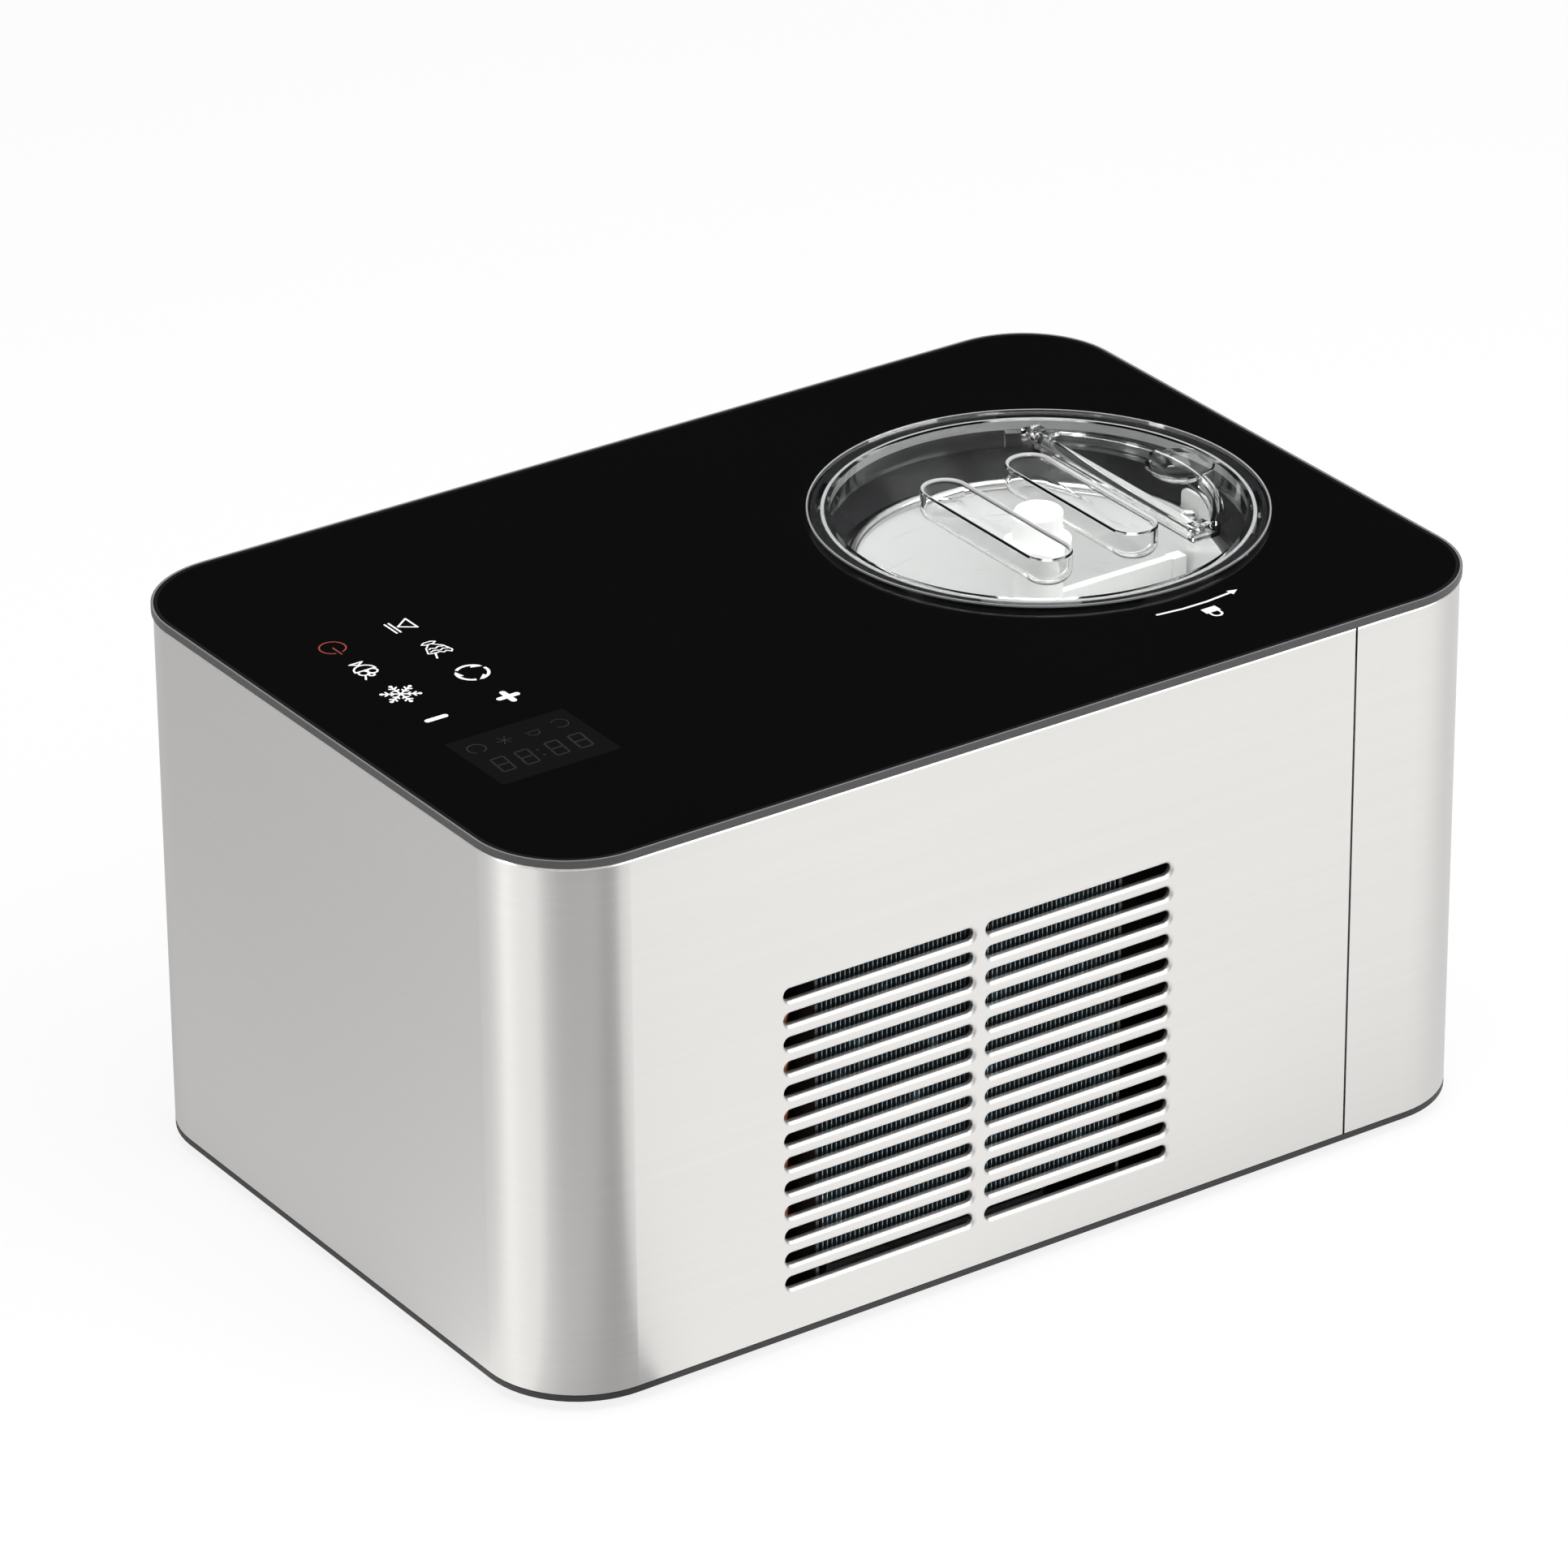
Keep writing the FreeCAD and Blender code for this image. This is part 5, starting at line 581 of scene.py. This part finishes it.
class Slot(Enum):
    """The record's material slots, each with its finish."""

    STEEL_WRAP = BrushedSteel(
        "steel_wrap", (0.80, 0.79, 0.77), 0.33, 1.0, mottle=0.06, sheen=0.06, bump=1.0, depth=MM)
    BLACK_GLASS = Finish(
        "black_glass", (0.0024, 0.0024, 0.0027), 0.07, grain=300.0, mottle=0.25, sheen=0.03, bump=0.0,
        specular=0.16)
    FRAME_PLASTIC = FrameFinish("frame_plastic", (0.095, 0.095, 0.096), 0.34, mottle=0.08, specular=0.15)
    BLACK_PLASTIC = Finish("black_plastic", (0.030, 0.030, 0.031), 0.50, bump=0.25)
    BLACK_RUBBER = Finish("black_rubber", (0.022, 0.022, 0.022), 0.75, grain=1400.0, bump=0.35)
    ZINC_SHEET = Finish("zinc_sheet", (0.52, 0.53, 0.55), 0.42, 1.0, grain=140.0, mottle=0.16)
    FASTENER_STEEL = Finish("fastener_steel", (0.62, 0.61, 0.58), 0.30, 1.0, grain=1800.0)
    POT_ALUMINIUM = TurnedMetal("pot_aluminium", (0.74, 0.74, 0.75), 0.32, 1.0, mottle=0.07, bump=0.08)
    BOWL_ALUMINIUM = BowlMetal("bowl_aluminium", (0.88, 0.88, 0.88), 0.30, 0.35, mottle=0.04, bump=0.03)
    COPPER = Finish("copper", (0.62, 0.29, 0.17), 0.30, 1.0, grain=260.0, mottle=0.20)
    FOAM = Finish("foam", (0.020, 0.020, 0.021), 0.85, grain=500.0, bump=0.5, depth=0.0004)
    GEARBOX_PLASTIC = Finish("gearbox_plastic", (0.055, 0.055, 0.058), 0.48, bump=0.25)
    BUSH_BRONZE = TurnedMetal("bush_bronze", (0.48, 0.31, 0.14), 0.40, 1.0, mottle=0.12)
    SHAFT_STEEL = TurnedMetal("shaft_steel", (0.64, 0.64, 0.64), 0.24, 1.0, mottle=0.06)
    GEAR_PLASTIC = Finish("gear_plastic", (0.76, 0.74, 0.68), 0.38, mottle=0.05)
    COMPRESSOR_ENAMEL = Finish("compressor_enamel", (0.018, 0.018, 0.019), 0.30, coat=0.4)
    FIN_ALUMINIUM = FinCoat("fin_aluminium", (0.20, 0.25, 0.27), 0.38, 0.7)
    CIRCUIT_BOARD = BoardCoat("circuit_board", (0.016, 0.12, 0.05), 0.40, coat=0.3)
    DISPLAY_PLASTIC = Finish("display_plastic", (0.02, 0.02, 0.022), 0.25)
    PAD_METAL = Finish("pad_metal", (0.62, 0.52, 0.32), 0.34, 1.0)
    EAR_PLASTIC = Finish("ear_plastic", (0.66, 0.66, 0.65), 0.40, mottle=0.05)
    BAIL_STEEL = Finish("bail_steel", (0.74, 0.74, 0.73), 0.16, 1.0, grain=600.0, mottle=0.06, sheen=0.05)
    PADDLE_PLASTIC = Finish("paddle_plastic", (0.94, 0.94, 0.92), 0.36, mottle=0.03)
    LID_CLEAR = ClearPlastic("lid_clear", (0.985, 0.992, 0.99), 0.03, mottle=0.01, sheen=0.02, bump=0.02)
    FLAP_CLEAR = ClearPlastic("flap_clear", (0.98, 0.99, 0.988), 0.03, mottle=0.01, sheen=0.02, bump=0.02)
    GASKET_SILICONE = Finish("gasket_silicone", (0.30, 0.30, 0.30), 0.5, mottle=0.06)


class Ink(Enum):
    """Printed inks, the display's faint marks and the condenser's dark end plates."""

    WHITE = Finish("ink_white", (0.88, 0.88, 0.87), 0.55, grain=4000.0, mottle=0.04)
    RED = Finish("ink_red", (0.26, 0.035, 0.026), 0.55, grain=4000.0, mottle=0.12)
    WINDOW = Finish(
        "ink_window", (0.0056, 0.0056, 0.0058), 0.10, grain=1200.0, mottle=0.18, sheen=0.03, specular=0.16)
    PLATE = Finish("dark_plate", (0.055, 0.056, 0.058), 0.42, 0.5, grain=200.0)
    SEGMENT = Finish("ink_segment", (0.021, 0.021, 0.021), 0.3, grain=4000.0, mottle=0.20, specular=0.16)


class Stock:
    """Materials made once and used again."""

    made: Dict[str, bpy.types.Material] = {}

    @classmethod
    def get(cls, choice: Enum) -> bpy.types.Material:
        """The material of a slot or an ink.

        Args:
            choice: the slot or ink.

        Returns:
            Its material.
        """
        if choice.name not in cls.made:
            cls.made[choice.name] = choice.value.build()
        return cls.made[choice.name]


def dress_nodes() -> None:
    """Give every CAD node the finish of its slot."""
    slots = {choice.value.name: choice for choice in Slot}
    special = {"condenser_end_plates": Ink.PLATE}
    for entry in frame["record"]["subparts"]:
        node = frame["nodes"][entry["node"]]
        choice = special.get(entry["node"], slots[entry["material_slot"]])
        node.data.materials.clear()
        node.data.materials.append(Stock.get(choice))


def link_object(name: str, data: bpy.types.ID) -> bpy.types.Object:
    """Make an object and put it in the scene.

    Args:
        name: its name.
        data: its mesh, lamp or camera.

    Returns:
        The object.
    """
    made = bpy.data.objects.new(name, data)
    bpy.context.scene.collection.objects.link(made)
    return made


def take_mesh(name: str, shape: bmesh.types.BMesh, material: bpy.types.Material) -> bpy.types.Mesh:
    """Turn a drawn shape into a mesh with a material.

    Args:
        name: the mesh's name.
        shape: the shape, in metres; it is freed.
        material: what it is made of.

    Returns:
        The mesh.
    """
    data = bpy.data.meshes.new(name)
    shape.to_mesh(data)
    shape.free()
    data.materials.append(material)
    return data


def on_glass(x: float, y: float, lift: float = 0.01) -> Place:
    """A place on the glass or a lift above it, in millimetres."""
    return (x, y, GLASS_TOP + lift)


def ray_at(angle: float) -> Vector:
    """A flat ray of length one, at an angle in degrees from +X."""
    return Vector((math.cos(math.radians(angle)), math.sin(math.radians(angle))))


class Stencil:
    """Flat ink shapes, drawn in millimetres about a mark's own middle, then raised to a thin film.

    Each stroke lies a hair above the one before, so that strokes that cross don't share a face.
    """

    ARC_STEP = math.radians(7.5)
    DISC_SIDES = 20
    END_STEPS = 5
    END_ROUND = 0.49
    HAIR = 0.003
    FILM = 0.05

    def __init__(self) -> None:
        """Start an empty drawing."""
        self.mesh = bmesh.new()
        self.strokes = 0

    def level(self) -> float:
        """The next stroke's height."""
        self.strokes += 1
        return self.strokes * self.HAIR

    def patch(self, corners: Sequence[Point]) -> None:
        """A filled polygon whose corners turn left."""
        level = self.level()
        self.mesh.faces.new([self.mesh.verts.new((x, y, level)) for x, y in corners])

    def bar(self, start: Point, end: Point, width: float, rounding: float = 1.0) -> None:
        """A straight stroke with rounded ends.

        Args:
            start: the middle of its first end.
            end: the middle of its last end.
            width: how wide it is.
            rounding: the share of a half round that its ends get.
        """
        first, last = Vector(start), Vector(end)
        along = (last - first).normalized()
        length = (last - first).length + width
        turn = Matrix.Rotation(math.atan2(along.y, along.x), 4, "Z")
        middle = Vector(((first.x + last.x) / 2, (first.y + last.y) / 2, self.level()))
        made = bmesh.ops.create_grid(
            self.mesh, x_segments=1, y_segments=1, size=0.5,
            matrix=Matrix.Translation(middle) @ turn @ Matrix.Diagonal((length, width, 1.0, 1.0)))
        if rounding:
            bmesh.ops.bevel(
                self.mesh, geom=made["verts"], offset=width * self.END_ROUND * rounding,
                offset_type="OFFSET", segments=self.END_STEPS, profile=0.5, affect="VERTICES", material=-1)

    def path(self, points: Sequence[Point], width: float) -> None:
        """Straight strokes from point to point."""
        for first, last in zip(points, points[1:]):
            self.bar(first, last, width)

    def arc(self, middle: Point, radius: float, width: float, start: float, end: float) -> None:
        """A bent stroke along part of a circle.

        Args:
            middle: the circle's centre.
            radius: the stroke's middle radius.
            width: how wide it is.
            start: its first angle, in degrees.
            end: its last angle, in degrees.
        """
        ray = ray_at(start).to_3d()
        centre = Vector((middle[0], middle[1], self.level()))
        ends = [self.mesh.verts.new(centre + ray * (radius + side * width / 2)) for side in (-1, 1)]
        edge = self.mesh.edges.new(ends)
        sweep = math.radians(end - start)
        whole = abs(end - start) >= 360
        bmesh.ops.spin(
            self.mesh, geom=[edge, *ends], cent=centre, axis=(0.0, 0.0, 1.0), angle=sweep,
            steps=max(3, round(abs(sweep) / self.ARC_STEP)), use_merge=whole)

    def dot(self, middle: Point, radius: float) -> None:
        """A filled disc.

        Args:
            middle: its centre.
            radius: its radius.
        """
        bmesh.ops.create_circle(
            self.mesh, cap_ends=True, segments=self.DISC_SIDES, radius=radius,
            matrix=Matrix.Translation((middle[0], middle[1], self.level())))

    def piece(self, name: str, ink: Ink, at: Place) -> None:
        """Raise the drawing to a film that rides on the case.

        Args:
            name: the piece's name.
            ink: what it is printed in.
            at: where its middle lies, in millimetres.
        """
        raised = bmesh.ops.extrude_face_region(self.mesh, geom=self.mesh.faces[:])
        tops = [item for item in raised["geom"] if isinstance(item, bmesh.types.BMVert)]
        bmesh.ops.translate(self.mesh, verts=tops, vec=(0.0, 0.0, self.FILM))
        bmesh.ops.transform(
            self.mesh, matrix=Matrix.Scale(MM, 4) @ Matrix.Translation(at), verts=self.mesh.verts)
        bmesh.ops.recalc_face_normals(self.mesh, faces=self.mesh.faces[:])
        data = take_mesh(name, self.mesh, Stock.get(ink))
        data.shade_flat()
        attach(link_object(name, data), "housing")
        LOG.info("%s: %d faces", name, len(data.polygons))


@dataclass
class KeyPrints:
    """Touch-key symbols printed on the glass, upright as read from the -Y side."""

    column_power: float = 162.5
    column_play: float = 133.9
    row_power: float = -51.0
    row_kind: float = -29.2
    row_cool: float = -6.5
    row_count: float = 15.8
    stroke: float = 0.7
    thin: float = 0.55

    def power(self) -> None:
        """Ring, open at the top round an upright stroke."""
        ink = Stencil()
        ink.arc((0, 1.0), 4.6, self.thin, 106, 434)
        ink.bar((0, 1.2), (0, 7.0), self.thin)
        ink.piece("print_power", Ink.RED, on_glass(self.column_power, self.row_power))

    def play(self) -> None:
        """Outlined triangle and two strokes."""
        ink = Stencil()
        ink.path([(-3.8, -4.0), (1.7, 0.0), (-3.8, 4.0), (-3.8, -4.0)], self.stroke)
        for x in (3.0, 4.6):
            ink.bar((x, -4.0), (x, 4.0), self.stroke)
        ink.piece("print_play", Ink.WHITE, on_glass(self.column_play, self.row_power))

    def sundae(self) -> None:
        """A footed cup with two scoops, a cherry and a straw."""
        ink = Stencil()
        ink.path([(-2.5, -6.0), (2.5, -6.0), (0.4, -4.5), (-0.4, -4.5), (-2.5, -6.0)], self.stroke)
        ink.bar((0, -4.4), (0, -3.8), self.stroke)
        ink.arc((0, 0.3), 3.9, self.stroke, 180, 360)
        ink.bar((-4.0, 0.3), (4.0, 0.3), self.stroke)
        for x in (-1.8, 1.8):
            ink.arc((x, 2.0), 1.7, self.stroke, 0, 360)
        ink.arc((0, 4.4), 1.0, self.stroke, 0, 360)
        ink.bar((2.5, 4.4), (3.7, 6.6), self.stroke)
        ink.piece("print_sundae", Ink.WHITE, on_glass(self.column_power, self.row_kind))

    def goblet(self) -> None:
        """A goblet of stirred ice with a spoon."""
        ink = Stencil()
        foot = [(-2.7, -4.9), (-1.4, -5.9), (1.6, -5.9), (2.9, -4.9), (1.6, -4.1), (-1.4, -4.1), (-2.7, -4.9)]
        side = [(-0.4, -4.1), (-3.3, -0.8), (-4.2, 3.6), (-3.3, 4.8)]
        heap = [(-3.3, 4.8), (-2.0, 3.2), (-0.8, 3.9), (0.5, 2.7), (2.2, 3.1), (4.6, 2.2)]
        far_side = [(4.6, 2.2), (3.2, -1.4), (0.6, -4.1)]
        waves = [(-3.4, 2.0), (-1.8, 1.2), (-0.4, 2.0), (1.4, 0.9), (3.2, 1.5)]
        low_waves = [(-2.8, -0.2), (-1.2, -0.9), (0.2, -0.1), (1.6, -1.0), (2.6, -0.5)]
        for line in (foot, side, heap, far_side, waves, low_waves):
            ink.path(line, self.thin)
        ink.bar((2.2, 2.8), (3.8, 6.6), self.stroke)
        ink.piece("print_goblet", Ink.WHITE, on_glass(self.column_play, self.row_kind))

    def snowflake(self) -> None:
        """Six branched arms, one of them upright."""
        ink = Stencil()
        ink.dot((0, 0), 0.8)
        for k in range(6):
            angle = 60 * k + 30
            ray, side = ray_at(angle), ray_at(angle + 90)
            ink.bar(tuple(ray), tuple(ray * 6.2), self.stroke)
            for reach, spread in ((2.4, 1.1), (4.2, 1.4)):
                for sign in (-1, 1):
                    tip = ray * (reach + spread * 0.7) + side * (sign * spread)
                    ink.bar(tuple(ray * reach), tuple(tip), self.stroke)
            ink.dot(tuple(ray * 6.5), 0.75)
        ink.piece("print_snowflake", Ink.WHITE, on_glass(self.column_power, self.row_cool))

    def cycle(self) -> None:
        """Three arrows that follow each other round a ring."""
        ink = Stencil()
        for k in range(3):
            tip = 82 + 120 * k
            ink.arc((0, 0), 5.6, 1.1, tip + 10, tip + 110)
            head = ((6.0, tip), (6.1, tip + 38), (3.8, tip + 46))
            ink.patch([tuple(ray_at(turn) * reach) for reach, turn in head])
        ink.piece("print_cycle", Ink.WHITE, on_glass(self.column_play, self.row_cool))

    def counters(self) -> None:
        """Minus and plus."""
        reach, width = 3.4, 2.3
        minus = Stencil()
        minus.bar((-reach, 0), (reach, 0), width)
        minus.piece("print_minus", Ink.WHITE, on_glass(self.column_power, self.row_count))
        plus = Stencil()
        plus.bar((-reach, 0), (reach, 0), width)
        plus.bar((0, -reach), (0, reach), width)
        plus.piece("print_plus", Ink.WHITE, on_glass(self.column_play, self.row_count))

    def build(self) -> None:
        """Print every key."""
        for draw in (
            self.power, self.play, self.sundae, self.goblet, self.snowflake, self.cycle, self.counters,
        ):
            draw()


@dataclass
class DisplayPrint:
    """Display window seen through the glass: a faint pane, four digits and a row of small symbols."""

    middle_x: float = 147.5
    middle_y: float = 52.0
    length: float = 47.0
    width: float = 36.0
    digit_pitch: float = 9.4
    digit_width: float = 5.0
    digit_height: float = 10.0
    digit_row: float = 5.5
    colon_gap: float = 1.2
    stroke: float = 0.72
    stroke_gap: float = 0.5
    rounding: float = 0.4
    lean: float = 0.10
    pane_lift: float = 0.005

    def digit(self, ink: Stencil, middle: Point) -> None:
        """All seven strokes of one digit.

        Args:
            ink: the drawing.
            middle: the digit's centre.
        """
        w, h, gap = self.digit_width / 2, self.digit_height / 2, self.stroke_gap
        strokes = [((-w + gap, y), (w - gap, y)) for y in (-h, 0.0, h)]
        strokes += [((x, low + gap), (x, low + h - gap)) for x in (-w, w) for low in (-h, 0.0)]
        for stroke in strokes:
            start, end = ((middle[0] + x + y * self.lean, middle[1] + y) for x, y in stroke)
            ink.bar(start, end, self.stroke, self.rounding)

    def build(self) -> None:
        """Make the pane and its marks."""
        pane = Stencil()
        x, y = self.length / 2, self.width / 2
        pane.patch([(-x, -y), (x, -y), (x, y), (-x, y)])
        pane.piece("display_pane", Ink.WINDOW, on_glass(self.middle_x, self.middle_y, self.pane_lift))
        marks = Stencil()
        for k in range(4):
            shift = (k - 1.5) * self.digit_pitch + (self.colon_gap if k > 1 else -self.colon_gap)
            self.digit(marks, (shift, self.digit_row))
        for low in (3.4, 7.6):
            marks.dot((0.4, low), 0.55)
        marks.arc((-16.5, -9.0), 3.0, 0.5, 40, 320)
        marks.arc((16.5, -9.0), 3.2, 0.6, 100, 420)
        star = Vector((5.5, -9.0))
        for k in range(3):
            arm = ray_at(60 * k) * 2.8
            marks.bar(tuple(star - arm), tuple(star + arm), 0.45)
        marks.arc((-5.5, -8.4), 2.2, 0.5, 0, 180)
        marks.bar((-8.2, -9.2), (-2.8, -9.2), 0.5)
        above_pane = on_glass(self.middle_x, self.middle_y, self.pane_lift + Stencil.FILM)
        marks.piece("display_marks", Ink.SEGMENT, above_pane)


@dataclass
class LockPrint:
    """Arrow beside the lid that shows which way locks it, and a small padlock."""

    radius: float = 93.0
    start: float = 79.6
    end: float = 99.0
    stroke: float = 1.0
    head_side: float = 1.7
    head_length: float = 3.6
    padlock_at: Point = (-1.0, 101.0)

    def build(self) -> None:
        """Print the arrow and the padlock."""
        arrow = Stencil()
        arrow.arc((0, 0), self.radius, self.stroke, self.start, self.end)
        ray, ahead = ray_at(self.end), ray_at(self.end + 90)
        base, side = ray * self.radius, ray * self.head_side
        arrow.patch([tuple(base + side), tuple(base + ahead * self.head_length), tuple(base - side)])
        arrow.piece("print_arrow", Ink.WHITE, on_glass(BOWL_X, 0.0))
        lock = Stencil()
        lock.patch([(-3.0, -4.0), (3.0, -4.0), (3.0, -0.4), (-3.0, -0.4)])
        for x in (-1.9, 1.9):
            lock.bar((x, -0.8), (x, 1.0), 0.8, 0.0)
        lock.arc((0, 1.2), 1.9, 0.8, 0, 180)
        lock.piece("print_padlock", Ink.WHITE, on_glass(BOWL_X + self.padlock_at[0], self.padlock_at[1]))


class Lamp(NamedTuple):
    """A soft rectangular lamp."""

    name: str
    at: Place
    size: Point
    power: float


@dataclass
class Studio:
    """Pale floor, soft lamps, cards to be mirrored and the camera at the photograph's angle."""

    camera_at: Place = (1.50447, 2.18291, 1.47593)
    azimuth: float = 145.621
    elevation: float = 26.930
    roll: float = -0.410
    lens: float = 195.2
    sensor: float = 36.0
    clip: Point = (0.1, 50.0)
    ambient: Colour = (0.35, 0.35, 0.355, 1.0)
    corner: Point = (0.163, 0.098)
    cards: Tuple[Point, ...] = (
        (-180, 0.76), (-150, 0.84), (-110, 0.78), (-82, 0.49), (-62, 0.56), (-44, 0.68), (-26, 0.84),
        (-15, 1.0), (22, 1.0), (29, 0.70), (45, 0.50), (75, 0.42), (104, 0.38), (110, 0.90), (124, 1.0),
        (158, 0.99), (175, 0.78), (180, 0.76),
    )
    horizon: float = 0.56
    top_from: float = 0.15
    top_full: float = 0.50
    black_card: Place = (-0.505, -0.735, 0.453)
    black_from: float = 0.89
    black_full: float = 0.965
    black_grey: Colour = (0.02, 0.02, 0.02, 1.0)
    floor_half: float = 15.0
    paper_dark: Colour = (0.82, 0.82, 0.82, 1.0)
    paper_light: Colour = (0.86, 0.86, 0.86, 1.0)
    paper_grain: float = 300.0
    seen_white: float = 0.85
    foot_light: float = 0.26
    foot_rise: Point = (0.17, 0.22)
    foot_fall: Point = (0.21, 0.44)
    aim: Place = (0.0, 0.0, 0.1)
    lamps: Tuple[Lamp, ...] = (
        Lamp("key", (-1.5, 1.8, 2.2), (2.2, 1.8), 50.0),
        Lamp("top", (0.1, 0.2, 2.4), (1.6, 1.6), 38.0),
        Lamp("strip", (2.2, -0.35, 0.9), (0.35, 1.6), 11.0),
    )

    def camera(self) -> None:
        """Place the camera."""
        a, e, r = (math.radians(angle) for angle in (self.azimuth, self.elevation, self.roll))
        back = Vector((math.sin(a) * math.cos(e), -math.cos(a) * math.cos(e), math.sin(e)))
        right = (-back).cross(Vector((0.0, 0.0, 1.0))).normalized()
        up = right.cross(-back)
        across = right * math.cos(r) + up * math.sin(r)
        upward = up * math.cos(r) - right * math.sin(r)
        turn = Matrix((across, upward, back)).transposed()
        data = bpy.data.cameras.new("camera")
        data.lens, data.sensor_width = self.lens, self.sensor
        data.clip_start, data.clip_end = self.clip
        camera = link_object("camera", data)
        camera.matrix_world = Matrix.Translation(self.camera_at) @ turn.to_4x4()
        bpy.context.scene.camera = camera

    def floor(self) -> None:
        """A wide floor of pale paper that keeps the object's shadow and mirrors as the cards' greys."""
        material, graph = new_material("floor_paper")
        paper = graph.blend(graph.noise((self.paper_grain,) * 3), self.paper_dark, self.paper_light)
        lit = graph.wire("ShaderNodeBsdfDiffuse", {}, {"Color": paper})
        x, y, _ = graph.axes()
        shine = graph.ray("Glossy")
        seen = graph.ray("Camera") + graph.ray("Transmission")
        cards = self.round_about(graph, x - self.corner[0], y - self.corner[1])
        foot = (x.rise(*self.foot_rise) - x.rise(*self.foot_fall)) * self.foot_light
        pale = graph.blend(shine, WHITE, graph.blend(foot, cards, WHITE))
        white = graph.wire("ShaderNodeEmission", {}, {"Color": pale, "Strength": 1.0})
        mixed = graph.wire(
            "ShaderNodeMixShader", {}, {0: seen * self.seen_white + shine, 1: lit, 2: white})
        graph.add("ShaderNodeOutputMaterial", {}, {"Surface": mixed})
        shape = bmesh.new()
        bmesh.ops.create_grid(shape, x_segments=1, y_segments=1, size=self.floor_half)
        floor = link_object("floor", take_mesh("floor", shape, material))

    def round_about(self, graph: Graph, x: Value, y: Value) -> Wire:
        """How bright the studio's cards are in each direction round the case.

        Args:
            graph: the graph that needs it.
            x: the direction's share along the case.
            y: the direction's share across it.

        Returns:
            The cards' grey.
        """
        turn = graph.wire("ShaderNodeMath", {"operation": "ARCTAN2"}, {0: y, 1: x})
        stops = [((angle + 180) / 360, (grey, grey, grey, 1.0)) for angle, grey in self.cards]
        return graph.wire("ShaderNodeValToRGB", {"stops": stops}, {0: turn * (0.5 / math.pi) + 0.5})

    def world(self) -> None:
        """White to the camera; for what shines, cards all round, a white top and one black card."""
        world = bpy.data.worlds.new("studio")
        bpy.context.scene.world = world
        world.use_nodes = True
        graph = Graph(world.node_tree)
        direction = graph.wire("ShaderNodeTexCoord", output="Generated")
        x, y, z = graph.split(direction)
        sides = graph.blend(self.horizon, BLACK, self.round_about(graph, x, y))
        room = graph.blend(z.rise(self.top_from, self.top_full), sides, WHITE)
        near = graph.wire(
            "ShaderNodeVectorMath", {"operation": "DOT_PRODUCT"}, {0: direction, 1: self.black_card}, 1)
        room = graph.blend(near.rise(self.black_from, self.black_full), room, self.black_grey)
        shine = graph.ray("Glossy") + graph.ray("Transmission")
        light = graph.blend(shine, self.ambient, room)
        colour = graph.blend(graph.ray("Camera"), light, WHITE)
        ground = graph.wire("ShaderNodeBackground", {}, {"Color": colour, "Strength": 1.0})
        graph.add("ShaderNodeOutputWorld", {}, {"Surface": ground})

    def light(self) -> None:
        """Hang the lamps, each turned to the object."""
        for lamp in self.lamps:
            data = bpy.data.lights.new(lamp.name, "AREA")
            data.shape = "RECTANGLE"
            data.size, data.size_y = lamp.size
            data.energy = lamp.power
            turn = (Vector(self.aim) - Vector(lamp.at)).to_track_quat("-Z", "Y")
            hung = link_object(lamp.name, data)
            hung.matrix_world = Matrix.Translation(lamp.at) @ turn.to_matrix().to_4x4()
            hung.visible_camera = False

    def build(self) -> None:
        """Make the whole studio."""
        bpy.context.scene.view_settings.view_transform = "Standard"
        self.camera()
        self.floor()
        self.world()
        self.light()


def main() -> None:
    """Dress the solids, add the printed marks and set the studio."""
    logging.basicConfig(level=logging.INFO, format="%(name)s %(message)s")
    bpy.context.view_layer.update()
    dress_nodes()
    for part in (KeyPrints(), DisplayPrint(), LockPrint(), Studio()):
        part.build()
        LOG.info("built %s", type(part).__name__)


if __name__ == "__main__":
    main()
